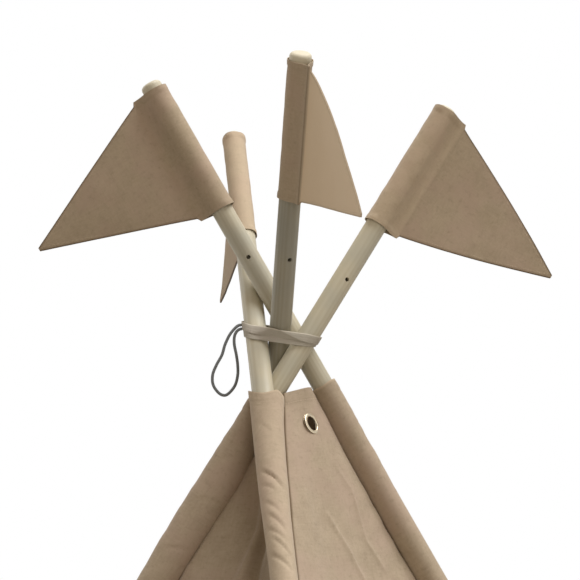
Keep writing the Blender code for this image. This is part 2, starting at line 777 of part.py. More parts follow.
def build_frames():
    """Empties that carry the poles. Each fold hinge hangs on its parent pole, and the next pole hangs on the hinge."""
    frames["front_right"] = new_empty("front_right_frame", None, pole_matrix("front_right"))
    for name, parent, child, rise in FOLDS:
        point, axis, angle = fold_hinge(parent, child, rise)
        print(f"{name}: point {tuple(round(c, 6) for c in point)}, axis {tuple(round(c, 6) for c in axis)}, "
              f"angle between poles {math.degrees(angle):.3f}")
        hinge = new_empty(name, frames[parent], frame_matrix(point, axis, AXES[parent][1]))
        frames[child] = new_empty(f"{child}_frame", hinge, pole_matrix(child))
    for index, name in enumerate(("door_flap_left", "door_flap_right")):
        world = flap_hinge(index)
        hinges[name] = new_empty(name + "_hinge", frames[SIDES["front"][index]], world)
        print(f"{name}: point {tuple(round(c, 6) for c in world.translation)}, "
              f"axis {tuple(round(c, 6) for c in world.col[2].to_3d())}")


FOLDS = (
    ("fold_right", "front_right", "back_right", FIRST_FOLD_RISE),
    ("fold_back", "back_right", "back_left", LATER_FOLD_RISE),
    ("fold_left", "back_left", "front_left", LATER_FOLD_RISE),
)
frames = {}
hinges = {}


def build():
    clear_scene()
    build_frames()
    floor = floor_tool()
    for corner in CORNERS:
        pole(corner, floor)
        sleeve(corner)
        flag(corner)
        print(f"{corner}: foot {tuple(round(c, 6) for c in AXES[corner][0])}, "
              f"way {tuple(round(c, 6) for c in AXES[corner][1])}, sleeve top {SLEEVE_TOPS[corner]:.4f}")
    panel = canvas_sheet("panel_right", "right", "front_right", whole, (0, 1), 16, 10)
    eyelet(panel)
    canvas_sheet("panel_back", "back", "back_right", whole, (0, 1), 16, 10)
    canvas_sheet("panel_left", "left", "back_left", whole, (0, 1), 16, 10)
    door()
    strap()
    hanging_loop()


build()
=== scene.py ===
"""A child's canvas play tent, dressed for its picture: pine poles, tie, cord loop, sleeves, sides, door and flags."""

import json

import bmesh
import bpy
import numpy as np
from mathutils import Matrix, Vector

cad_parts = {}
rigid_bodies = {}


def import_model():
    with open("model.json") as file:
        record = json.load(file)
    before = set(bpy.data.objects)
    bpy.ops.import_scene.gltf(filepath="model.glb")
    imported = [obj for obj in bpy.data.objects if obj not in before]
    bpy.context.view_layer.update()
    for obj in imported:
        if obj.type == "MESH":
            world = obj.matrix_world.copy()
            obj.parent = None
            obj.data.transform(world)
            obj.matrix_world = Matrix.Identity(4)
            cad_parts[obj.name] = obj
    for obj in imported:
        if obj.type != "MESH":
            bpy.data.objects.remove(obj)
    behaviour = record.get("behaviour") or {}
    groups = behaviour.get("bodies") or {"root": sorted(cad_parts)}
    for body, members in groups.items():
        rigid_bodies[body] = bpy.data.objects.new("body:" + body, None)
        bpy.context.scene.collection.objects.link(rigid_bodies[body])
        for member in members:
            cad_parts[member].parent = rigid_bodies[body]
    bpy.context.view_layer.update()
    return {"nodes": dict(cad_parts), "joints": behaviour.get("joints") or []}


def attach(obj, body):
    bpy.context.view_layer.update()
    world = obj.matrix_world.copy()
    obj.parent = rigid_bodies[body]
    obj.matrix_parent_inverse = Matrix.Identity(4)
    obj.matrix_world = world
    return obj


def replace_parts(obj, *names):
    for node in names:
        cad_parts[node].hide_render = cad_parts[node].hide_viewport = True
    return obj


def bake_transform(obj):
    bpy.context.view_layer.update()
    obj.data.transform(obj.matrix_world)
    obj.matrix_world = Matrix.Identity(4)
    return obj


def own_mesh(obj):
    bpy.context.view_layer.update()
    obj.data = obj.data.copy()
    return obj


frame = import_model()


# The camera
# It stands low in front of the door's right corner and looks up at the crossing. Its lens is long, because the
# picture shows only the top of the tent.

CAMERA_PLACE, CAMERA_LENS, CAMERA_SENSOR = (1.6874, -2.2754, 0.8761), 154.30, 36.0
look, across_view = Vector((-0.5854, 0.7920, 0.1734)).normalized(), Vector((0.8042, 0.5944, 0.0)).normalized()

camera_data = bpy.data.cameras.new("camera")
camera_data.sensor_width, camera_data.lens = CAMERA_SENSOR, CAMERA_LENS
camera = bpy.data.objects.new("camera", camera_data)
bpy.context.scene.collection.objects.link(camera)
view_frame = Matrix((across_view, across_view.cross(look), -look)).transposed().to_4x4()
camera.matrix_world = Matrix.Translation(CAMERA_PLACE) @ view_frame
bpy.context.scene.camera = camera


# Where the poles stand
# Four straight poles lean on one another. Each turns a flag, so the flag's joint gives the pole's axis: its foot on
# the floor, its way up, the way out of the tent and the way to its side.

CORNERS = ("front_right", "back_right", "back_left", "front_left")
foot, way, out, flank = {}, {}, {}, {}
for joint in frame["joints"]:
    if joint["name"].endswith("_flag_turn"):
        corner = joint["parent"]
        way[corner] = np.array(joint["axis"], float) / np.linalg.norm(joint["axis"])
        foot[corner] = np.array(joint["pos_m"], float) - way[corner] * (joint["pos_m"][2] / way[corner][2])
        level = foot[corner] - way[corner] * (foot[corner] @ way[corner])
        out[corner] = level / np.linalg.norm(level)
        flank[corner] = np.cross(way[corner], out[corner])


def node_points(node):
    """A solid's vertices at rest, as an array of points."""
    mesh = frame["nodes"][node].data
    flat = np.empty(len(mesh.vertices) * 3)
    mesh.vertices.foreach_get("co", flat)
    return flat.reshape(-1, 3)


def reach_along(corner, node):
    """The lowest and highest place of a solid along its pole: each point's part of the pole's way."""
    along = (node_points(node) - foot[corner]) @ way[corner]
    return along.min(), along.max()


def by_pole(corner, along, turn, radius):
    """Points beside a pole: foot + way * along + radius * (out * cos(turn) + flank * sin(turn))."""
    along, turn, radius = np.broadcast_arrays(along, turn, radius)
    return (foot[corner] + along[..., None] * way[corner] + (radius * np.cos(turn))[..., None] * out[corner]
            + (radius * np.sin(turn))[..., None] * flank[corner])


def smooth_step(value, low, high):
    """0 below low and 1 above high, with the cubic 3t^2 - 2t^3 between."""
    share = np.clip((value - low) / (high - low), 0.0, 1.0)
    return share * share * (3.0 - 2.0 * share)


# The poles' wood
# Each pole is a 25 mm turned pine dowel in three lengths, sanded and left bare, with a rounded tip and a drilled
# hole. A turned surface is a profile of radius against height, carried round the pole's axis.

POLE_RADIUS, POLE_CHAMFER = 0.0125, 0.0005
HOLE_RADIUS, HOLE_DEPTH, HOLE_ZONE = 0.0023, 0.008, 0.006
TIP_ZONE = 0.020

# Each pole's tip: how round it is, how far it is moved along the pole, and how much painted light pales it
TIPS = {"front_right": (0.0090, -0.0054, 0.3), "back_right": (0.0052, 0.0070, 0.5),
        "back_left": (0.0052, 0.0075, 1.0), "front_left": (0.0052, 0.0010, 0.5)}

# Each pole's drilled hole: its height along the pole, its turn round it, and how much painted shade darkens it
HOLES = {"front_right": (1.6300, 15.0, 0.8), "back_right": (1.6345, -105.0, 0.45),
         "back_left": (1.6315, -165.0, 0.7), "front_left": (1.6225, 107.0, 1.0)}

# Painted light and shade: how light each pole's wood is drawn, darkest on the back left pole
POLE_PAINTED_LIGHT_AND_SHADE = {"front_right": 1.10, "back_right": 1.02, "back_left": 0.62, "front_left": 1.15}


def surface(name, points, chart, around=False):
    """A mesh through a grid of points (rows, columns, 3). chart holds each point's place in the cloth or wood, in
    metres, one column wider where around joins the last column to the first."""
    rows, columns = points.shape[:2]
    i, j = np.meshgrid(np.arange(rows - 1), np.arange(columns if around else columns - 1), indexing="ij")
    k = (j + 1) % columns
    corners_of = np.stack([i * columns + j, i * columns + k, (i + 1) * columns + k, (i + 1) * columns + j], -1)
    charted = np.stack([chart[i, j], chart[i, j + 1], chart[i + 1, j + 1], chart[i + 1, j]], 2)
    flat = points.reshape(-1, 3)
    faces, charted = corners_of.reshape(-1, 4), charted.reshape(-1, 4, 2)
    a, b, c = (flat[faces[:, n]] for n in (0, 1, 2))
    if around and (np.cross(b - a, c - a) * (a - flat.mean(0))).sum() < 0:
        faces, charted = faces[:, ::-1], charted[:, ::-1]
    mesh = bpy.data.meshes.new(name)
    mesh.from_pydata(flat, [], faces)
    layer = mesh.uv_layers.new(name="chart")
    layer.data.foreach_set("uv", charted.astype(np.float32).ravel())
    mesh.shade_smooth()
    piece = bpy.data.objects.new(name, mesh)
    bpy.context.scene.collection.objects.link(piece)
    return piece


def rework(mesh, change):
    """Opens a mesh for editing, hands it to a change, and stores it back."""
    work = bmesh.new()
    work.from_mesh(mesh)
    change(work)
    work.to_mesh(mesh)
    work.free()


def close_ends(work):
    """Fills each open end of a tube."""
    bmesh.ops.holes_fill(work, edges=[e for e in work.edges if e.is_boundary], sides=0)


def settle(piece, sharp=50.0, weld=0.0, thickness=0.0, offset=0.0):
    """Thickens a skin where thickness is given, merges doubles where weld is, and keeps edges over sharp degrees
    crisp."""
    if thickness:
        thick = piece.modifiers.new("thickness", "SOLIDIFY")
        thick.thickness, thick.offset = thickness, offset
    graph = bpy.context.evaluated_depsgraph_get()
    mesh = bpy.data.meshes.new_from_object(piece.evaluated_get(graph))
    piece.modifiers.clear()
    piece.data = mesh

    def welded(work):
        bmesh.ops.remove_doubles(work, verts=work.verts, dist=weld)
        bmesh.ops.dissolve_degenerate(work, edges=work.edges, dist=weld / 10)
        bmesh.ops.recalc_face_normals(work, faces=work.faces)

    if weld:
        rework(mesh, welded)
    mesh.shade_smooth()
    mesh.set_sharp_from_angle(angle=np.radians(sharp))
    return piece


def mark(piece, name, values):
    """Stores one number, or a vector of three, for each vertex."""
    flat = np.asarray(values, np.float32)
    vector = flat.ndim == 3
    layer = piece.data.attributes.new(name, "FLOAT_VECTOR" if vector else "FLOAT", "POINT")
    layer.data.foreach_set("vector" if vector else "value", flat.ravel())


def lay_out(*parts):
    """One array whose last axis holds the parts, widened to the same rows and columns."""
    return np.stack(np.broadcast_arrays(*parts), -1)


def add_node(tree, kind, inputs=(), **settings):
    """A shader node with its settings, and its inputs either linked or given a value."""
    made = tree.nodes.new(kind)
    for name, value in settings.items():
        setattr(made, name, value)
    for name, value in dict(inputs).items():
        if isinstance(value, bpy.types.NodeSocket):
            tree.links.new(value, made.inputs[name])
        else:
            made.inputs[name].default_value = value
    return made


def maths(tree, operation, first, second=0.0, third=0.0):
    """The output of one Math node."""
    inputs = [(0, first), (1, second)] + ([(2, third)] if operation in ("MULTIPLY_ADD", "SMOOTH_MIN") else [])
    return add_node(tree, "ShaderNodeMath", inputs, operation=operation).outputs[0]


def weighted(tree, *parts):
    """The sum of values, each times its weight."""
    total = None
    for value, weight in reversed(parts):
        part = maths(tree, "MULTIPLY", value, weight)
        total = part if total is None else maths(tree, "ADD", part, total)
    return total


def ramp(tree, value, low, high, bottom=0.0, top=1.0):
    """A value carried smoothly from low..high to bottom..top."""
    return add_node(tree, "ShaderNodeMapRange", [("Value", value), ("From Min", low), ("From Max", high),
                                                 ("To Min", bottom), ("To Max", top)],
                    interpolation_type="SMOOTHSTEP").outputs["Result"]


def mix_colour(tree, share, first, second, blend="MIX"):
    """The output of one Mix node for colours."""
    mixed = add_node(tree, "ShaderNodeMix", data_type="RGBA", blend_type=blend, clamp_factor=True)
    for index, value in ((0, share), (6, first), (7, second)):
        if isinstance(value, bpy.types.NodeSocket):
            tree.links.new(value, mixed.inputs[index])
        else:
            mixed.inputs[index].default_value = value
    return mixed.outputs[2]


def object_place(tree):
    """Each point's place on the object."""
    return add_node(tree, "ShaderNodeTexCoord").outputs["Object"]


def stretch(tree, place, scale, location=(0.0, 0.0, 0.0)):
    """A place scaled along each axis, and moved."""
    return add_node(tree, "ShaderNodeMapping", [("Vector", place), ("Scale", scale), ("Location", location)]).outputs[0]


def noise(tree, place, scale, detail, roughness=0.5):
    """The height of a noise texture."""
    return add_node(tree, "ShaderNodeTexNoise", [("Vector", place), ("Scale", scale), ("Detail", detail),
                                                 ("Roughness", roughness)]).outputs[0]


def attribute(tree, name):
    """A number stored for each vertex."""
    return add_node(tree, "ShaderNodeAttribute", attribute_name=name).outputs["Fac"]


def raise_surface(tree, shader, height, strength, distance):
    """Gives a shader the relief of a height."""
    bump = add_node(tree, "ShaderNodeBump", [("Strength", strength), ("Distance", distance), ("Height", height)])
    tree.links.new(bump.outputs[0], shader.inputs["Normal"])


def node_group(name, inputs, outputs):
    """An empty group with named sockets. Returns the tree, its input node and its output node."""
    tree = bpy.data.node_groups.new(name, "ShaderNodeTree")
    for label, kind in inputs:
        tree.interface.new_socket(name=label, in_out="INPUT", socket_type=kind)
    for label, kind in outputs:
        tree.interface.new_socket(name=label, in_out="OUTPUT", socket_type=kind)
    return tree, tree.nodes.new("NodeGroupInput"), tree.nodes.new("NodeGroupOutput")


def new_material(name, roughness, metallic=0.0):
    """A material's tree and its Principled shader."""
    material = bpy.data.materials.new(name)
    material.use_nodes = True
    tree = material.node_tree
    shader = tree.nodes["Principled BSDF"]
    shader.inputs["Roughness"].default_value = roughness
    shader.inputs["Metallic"].default_value = metallic
    return material, tree, shader


def wood_grain():
    """Pine seen along its length: noise drawn out along the fibre for the streaks, rings for the broad figure, and
    a few knots. Puts out the figure and the relief."""
    tree, given, result = node_group("pine grain", [("Place", "NodeSocketVector")],
                                     [("Figure", "NodeSocketFloat"), ("Knot", "NodeSocketFloat"),
                                      ("Relief", "NodeSocketFloat")])
    place = given.outputs["Place"]
    drawn = stretch(tree, place, (1.0, 1.0, 0.035))
    fibre, broad = noise(tree, drawn, 900.0, 4.0), noise(tree, drawn, 160.0, 3.0)
    bend = stretch(tree, place, (1.0, 1.0, 0.05), (0.03, 0.011, 0.0))
    rings = add_node(tree, "ShaderNodeTexWave", [("Vector", bend), ("Scale", 75.0), ("Distortion", 3.5),
                                                 ("Detail", 2.0), ("Detail Scale", 1.4)],
                     wave_type="RINGS", rings_direction="Z").outputs["Fac"]
    spots = stretch(tree, place, (1.0, 1.0, 0.45))
    cells = add_node(tree, "ShaderNodeTexVoronoi", [("Vector", spots), ("Scale", 17.0)]).outputs["Distance"]
    knot = ramp(tree, cells, 0.02, 0.11, 1.0, 0.0)
    tree.links.new(weighted(tree, (rings, 0.40), (broad, 0.45), (fibre, 0.25)), result.inputs["Figure"])
    tree.links.new(knot, result.inputs["Knot"])
    tree.links.new(weighted(tree, (fibre, 1.0), (rings, 0.4)), result.inputs["Relief"])
    return tree


PINE_GRAIN = wood_grain()


def pine(corner):
    """One pole's wood. The grain runs along the pole, so Object coordinates are turned into the pole's own."""
    # Each pole's colours are scaled by its painted light and shade.
    pale, deep, grey_wood, knot_wood = (tuple(POLE_PAINTED_LIGHT_AND_SHADE[corner] * c for c in colour) + (1,) for colour in (
        (0.565, 0.520, 0.400), (0.510, 0.460, 0.335), (0.430, 0.420, 0.350), (0.26, 0.18, 0.10)))
    material, tree, shader = new_material("pine_" + corner, 0.55)
    turned_to = Matrix((out[corner], flank[corner], way[corner])).transposed()
    place = add_node(tree, "ShaderNodeMapping",
                     [("Vector", object_place(tree)), ("Location", tuple(foot[corner] + 0.004 * out[corner])),
                      ("Rotation", turned_to.to_euler())], vector_type="TEXTURE").outputs[0]
    grain = add_node(tree, "ShaderNodeGroup", node_tree=PINE_GRAIN)
    tree.links.new(place, grain.inputs["Place"])
    figure, knot = grain.outputs["Figure"], grain.outputs["Knot"]
    wood = mix_colour(tree, ramp(tree, figure, 0.25, 0.95), pale, deep)
    wood = mix_colour(tree, ramp(tree, noise(tree, place, 22.0, 2.0), 0.35, 0.70, 0.0, 0.55), wood, grey_wood)
    wood = mix_colour(tree, maths(tree, "MULTIPLY", knot, 0.40), wood, knot_wood)
    # Painted light: the tip is drawn paler, as if lit from above.
    wood = mix_colour(tree, attribute(tree, "tip_painted_light"), wood, (0.72, 0.66, 0.51, 1))
    # Painted shade inside the drilled hole.
    wood = mix_colour(tree, attribute(tree, "hole_painted_shade"), wood, (0.09, 0.065, 0.04, 1))
    tree.links.new(wood, shader.inputs["Base Color"])
    tree.links.new(ramp(tree, figure, 0.2, 0.9, 0.50, 0.66), shader.inputs["Roughness"])
    raise_surface(tree, shader, grain.outputs["Relief"], 0.12, 0.0001)
    return material


def turned(corner, profile, columns=96, gather=0.0, start=0.0):
    """A profile of (height, radius) carried round a pole's axis. gather draws the columns together at start and
    opposite it: turn = start + u - gather * sin(2u) / 2."""
    height, radius = np.array(profile, float).T
    u = np.arange(columns) * 2 * np.pi / columns
    turn = start + u - gather * np.sin(2 * u) / 2
    return by_pole(corner, height[:, None], turn[None, :], radius[:, None]), height, u


def upper_length(corner):
    """The bare top length of a pole, with its tenon, its rounded tip and the two ends of its drilled hole. A point
    nearer the bore's line than the hole's radius is pressed in along that line."""
    node = corner + "_pole_upper"
    (bend, tip_shift, tip_light), (hole, hole_turn, hole_shade) = TIPS[corner], HOLES[corner]
    low, high = reach_along(corner, node)
    high += tip_shift
    along = (node_points(node) - foot[corner]) @ way[corner]
    beside = np.linalg.norm(node_points(node) - foot[corner] - along[:, None] * way[corner], axis=1)
    tenon = beside[along < low + 0.001].max()
    shoulder = along[(beside > POLE_RADIUS - POLE_CHAMFER)].min()
    spans = ((shoulder + 0.0006, hole - HOLE_ZONE, 0.012), (hole - HOLE_ZONE, hole + HOLE_ZONE, 0.0003),
             (hole + HOLE_ZONE, high - TIP_ZONE, 0.012), (high - TIP_ZONE, high - 0.0092, 0.001))
    profile = [(low, 0.0), (low, tenon), (shoulder, tenon), (shoulder, POLE_RADIUS - POLE_CHAMFER)]
    profile += [(height, POLE_RADIUS) for span in spans for height in np.arange(*span)]
    profile += [(high - bend + bend * np.sin(a), POLE_RADIUS - bend + bend * np.cos(a))
                for a in np.linspace(0.0, np.pi / 2, 13)] + [(high, 0.0)]
    start = np.radians(hole_turn)
    points, height, u = turned(corner, profile, 96, 0.75, start)
    bore = out[corner] * np.cos(start) + flank[corner] * np.sin(start)
    off = points - (foot[corner] + way[corner] * hole)
    apart = np.linalg.norm(off - (off @ bore)[..., None] * bore, axis=-1)
    pressed = (1.0 - smooth_step(apart, HOLE_RADIUS - 0.0003, HOLE_RADIUS + 0.0001)) * (abs(off @ bore) > 0.004)
    points = points - (np.sign(off @ bore) * pressed * HOLE_DEPTH)[..., None] * bore
    chart = lay_out(np.append(u, 2 * np.pi)[None, :] * POLE_RADIUS, height[:, None])
    piece = surface(corner + "_bare_pole", points, chart, around=True)
    # Painted shade inside both ends of the drilled hole, by the pole's share
    mark(piece, "hole_painted_shade", hole_shade * pressed)
    # Painted light that pales each tip by its share
    mark(piece, "tip_painted_light", tip_light * smooth_step(height, high - 0.014, high - 0.010)[:, None] + 0 * u)
    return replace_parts(settle(piece, 40.0, 1e-7), node)


for corner in CORNERS:
    wood = pine(corner)
    bare = upper_length(corner)
    bare.data.materials.append(wood)
    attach(bare, corner)
    for length in ("lower", "middle"):
        stick = frame["nodes"][f"{corner}_pole_{length}"]
        stick.data.materials.clear()
        stick.data.materials.append(wood)


# Ferrules
# Each pole's three lengths meet in two thin drawn aluminium tubes, pressed over reduced ends of the wood. They lie
# inside the canvas sleeves.

def brushed_metal():
    """Drawn aluminium: fine scratches in tone and roughness."""
    material, tree, shader = new_material("drawn_aluminium", 0.35, 1.0)
    scratch = noise(tree, object_place(tree), 700.0, 3.0)
    tree.links.new(mix_colour(tree, scratch, (0.62, 0.62, 0.60, 1), (0.50, 0.50, 0.49, 1)), shader.inputs["Base Color"])
    tree.links.new(ramp(tree, scratch, 0.3, 0.7, 0.28, 0.45), shader.inputs["Roughness"])
    return material


aluminium = brushed_metal()
for corner in CORNERS:
    for height in ("lower", "upper"):
        tube = frame["nodes"][f"{corner}_ferrule_{height}"]
        tube.data.materials.clear()
        tube.data.materials.append(aluminium)


# Feet
# A black rubber cap is pushed over each pole's lower end. It has three grip ribs, and its sole is cut level with
# the floor, so the cap's lower end slides along the pole until it lies flat.

FOOT_BORE, FOOT_OUTER, FOOT_TOP, FOOT_SEAT, FOOT_ROUND = 0.0128, 0.0155, 0.028, 0.0117, 0.0015
RIB_START, RIB_END, RIB_PITCH, RIB_DEPTH = 0.004, 0.0191, 0.005, 0.0006


def rubber():
    """Moulded rubber: nearly black, dull, with a fine pitted skin and dust towards its lower edge."""
    material, tree, shader = new_material("foot_rubber", 0.8)
    place = object_place(tree)
    pits = noise(tree, place, 1400.0, 2.0)
    height = add_node(tree, "ShaderNodeSeparateXYZ", [("Vector", place)]).outputs["Z"]
    dust = maths(tree, "MULTIPLY", ramp(tree, height, 0.0, 0.012, 0.5, 0.0), pits)
    tree.links.new(mix_colour(tree, dust, (0.028, 0.028, 0.028, 1), (0.22, 0.20, 0.17, 1)), shader.inputs["Base Color"])
    tree.links.new(ramp(tree, pits, 0.3, 0.7, 0.70, 0.90), shader.inputs["Roughness"])
    raise_surface(tree, shader, pits, 0.4, 0.0002)
    return material


black_rubber = rubber()
for corner in CORNERS:
    profile = [(0.0, 0.0), (0.0, FOOT_OUTER - 0.0004)]
    profile += [(h, FOOT_OUTER - RIB_DEPTH + RIB_DEPTH * np.cos(2 * np.pi * (h - RIB_START) / RIB_PITCH))
                for h in np.arange(RIB_START, RIB_END, 0.0005)] + [(0.0225, FOOT_OUTER)]
    profile += [(FOOT_TOP - FOOT_ROUND + FOOT_ROUND * np.sin(a), FOOT_OUTER - FOOT_ROUND + FOOT_ROUND * np.cos(a))
                for a in np.linspace(0, np.pi / 2, 6)]
    profile += [(FOOT_TOP, FOOT_BORE), (FOOT_SEAT, FOOT_BORE), (FOOT_SEAT, 0.0)]
    points, height, u = turned(corner, profile, 72)
    slid = points - way[corner] * (points[..., 2:] / way[corner][2])
    shift = np.maximum(0.0, -points[..., 2:]) / way[corner][2] * way[corner]
    points = np.where((height < 1e-9)[:, None, None], slid, points + shift)
    chart = lay_out(np.append(u, 2 * np.pi)[None, :] * FOOT_OUTER, height[:, None])
    cap = settle(surface(corner + "_rubber_foot", points, chart, around=True), 35.0, 1e-7)
    cap.data.materials.append(black_rubber)
    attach(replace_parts(cap, corner + "_foot"), corner)


# The strap
# A flat cotton tape is wound twice round the four poles, its upper turn over its lower one. It is pulled tight, so
# each edge lies on the outline of the bundle at its own level: the hull of the four poles' oval sections.

TIE_HEIGHT = 1.32
STRAP_SLOPES = (-0.223, 0.0625)
STRAP_WIDTH, STRAP_PITCH, STRAP_SEAT, STRAP_THICK = 0.0095, 0.0075, 0.0004, 0.0009
STRAP_TURNS, STRAP_START, STRAP_WIDEST = 2.0, np.radians(126.0), np.radians(216.0)
STRAP_RINGS = 520
across_tape = np.concatenate([np.linspace(0, 1, 25), np.linspace(1, 0, 25)])
tie_up = np.array([-STRAP_SLOPES[0], -STRAP_SLOPES[1], 1.0])
tie_up /= np.linalg.norm(tie_up)
tie_x = np.array([1.0, 0.0, 0.0]) - tie_up * tie_up[0]
tie_x /= np.linalg.norm(tie_x)
tie_y = np.cross(tie_up, tie_x)
tie_middle = np.array([0.0, 0.0, TIE_HEIGHT])


def bundle_edge(angle, level):
    """Points of the bundle's outline with their way out at an angle, at a level over the tied plane. For a pole cut
    by the plane into an oval with centre c and matrix M = r^2 (I + w w' / wz^2), the point is c + M n / sqrt(n'M n),
    and the farthest of the four along n is taken."""
    n = np.stack([np.cos(angle), np.sin(angle)], -1)
    best, found = np.full(len(angle), -1.0), np.zeros((len(angle), 2))
    for corner in CORNERS:
        start = foot[corner] - tie_middle
        base = np.array([start @ tie_x, start @ tie_y, start @ tie_up])
        lean = np.array([way[corner] @ tie_x, way[corner] @ tie_y, way[corner] @ tie_up])
        centre = base[:2] + lean[:2] * ((level - base[2]) / lean[2])[:, None]
        pull = (n @ lean[:2]) / lean[2]
        spread = POLE_RADIUS * np.sqrt(1 + pull ** 2)
        point = centre + POLE_RADIUS ** 2 * (n + pull[:, None] * lean[:2] / lean[2]) / spread[:, None]
        far = (point * n).sum(1)
        found = np.where((far > best)[:, None], point, found)
        best = np.maximum(best, far)
    return found, n


def wound_tape():
    """The tape as a band between a lower and an upper edge, sampled evenly along its length. Its turns cross over
    where the poles are farthest to one side, and the upper turn lies outside the lower one. Its section has three low
    woven ridges: thickness = STRAP_THICK (0.9 + 0.1 cos(6 pi t)) for t across the width, thinned at both edges."""
    turns = np.linspace(0.0, STRAP_TURNS, 2881)
    bearing = STRAP_START + 2 * np.pi * turns
    middle = STRAP_PITCH * (STRAP_TURNS / 2 - turns) * (0.68 + 0.32 * np.cos(bearing - STRAP_WIDEST))
    seat = STRAP_SEAT + STRAP_THICK * (0.5 + 1.15 * (STRAP_TURNS - turns))
    edges = []
    for level in (middle - STRAP_WIDTH / 2, middle + STRAP_WIDTH / 2):
        point, n = bundle_edge(bearing, level)
        held = point + n * seat[:, None]
        edges.append(tie_middle + held[:, :1] * tie_x + held[:, 1:] * tie_y + level[:, None] * tie_up)
    step = np.linalg.norm(np.diff((edges[0] + edges[1]) / 2, axis=0), axis=1)
    run = np.concatenate([[0.0], np.cumsum(step)])
    even = np.linspace(0.0, run[-1], STRAP_RINGS)
    low, high = (np.stack([np.interp(even, run, edge[:, k]) for k in range(3)], -1) for edge in edges)
    ways = [np.interp(even, run, f(bearing)) for f in (np.cos, np.sin)]
    outward = ways[0][:, None] * tie_x + ways[1][:, None] * tie_y
    outward /= np.linalg.norm(outward, axis=1)[:, None]
    t, face = across_tape, np.repeat([1.0, -1.0], 25)
    edge = np.sqrt(np.clip(1 - (np.abs(2 * t - 1)) ** 10, 0.0, 1))
    thick = face * STRAP_THICK / 2 * (0.90 + 0.10 * np.cos(6 * np.pi * t)) * (0.25 + 0.75 * edge)
    points = low[:, None] + (high - low)[:, None] * t[:, None] + outward[:, None] * thick[:, None]
    return points, lay_out(even[:, None], np.append(t * STRAP_WIDTH, 0.0)[None, :])


def weave():
    """A plain weave from two sets of round threads that pass over and under: the height of each thread is
    |sin(pi u / pitch)|, and the sign of sin(pi u / pitch) sin(pi v / pitch) says which lies on top. Slubs are noise
    drawn out along each thread."""
    tree, given, result = node_group("plain weave", [("Chart", "NodeSocketVector"), ("Pitch", "NodeSocketFloat")],
                                     [("Threads", "NodeSocketFloat"), ("Slubs", "NodeSocketFloat")])
    chart, pitch = given.outputs["Chart"], given.outputs["Pitch"]
    parts = add_node(tree, "ShaderNodeSeparateXYZ", [("Vector", chart)])
    waves = [maths(tree, "SINE", maths(tree, "DIVIDE", maths(tree, "MULTIPLY", parts.outputs[axis], np.pi), pitch))
             for axis in ("X", "Y")]
    over = ramp(tree, maths(tree, "MULTIPLY", waves[0], waves[1]), -0.2, 0.2)
    warp, weft = maths(tree, "ABSOLUTE", waves[0]), maths(tree, "ABSOLUTE", waves[1])
    threads = weighted(tree, (warp, over), (weft, maths(tree, "SUBTRACT", 1.0, over)))
    drawn = [noise(tree, stretch(tree, chart, scale), 1.0, 2.0) for scale in ((520.0, 42.0, 1.0), (42.0, 520.0, 1.0))]
    slubs = maths(tree, "MULTIPLY", maths(tree, "ADD", *drawn), 0.5)
    tree.links.new(threads, result.inputs["Threads"])
    tree.links.new(slubs, result.inputs["Slubs"])
    return tree


WEAVE = weave()


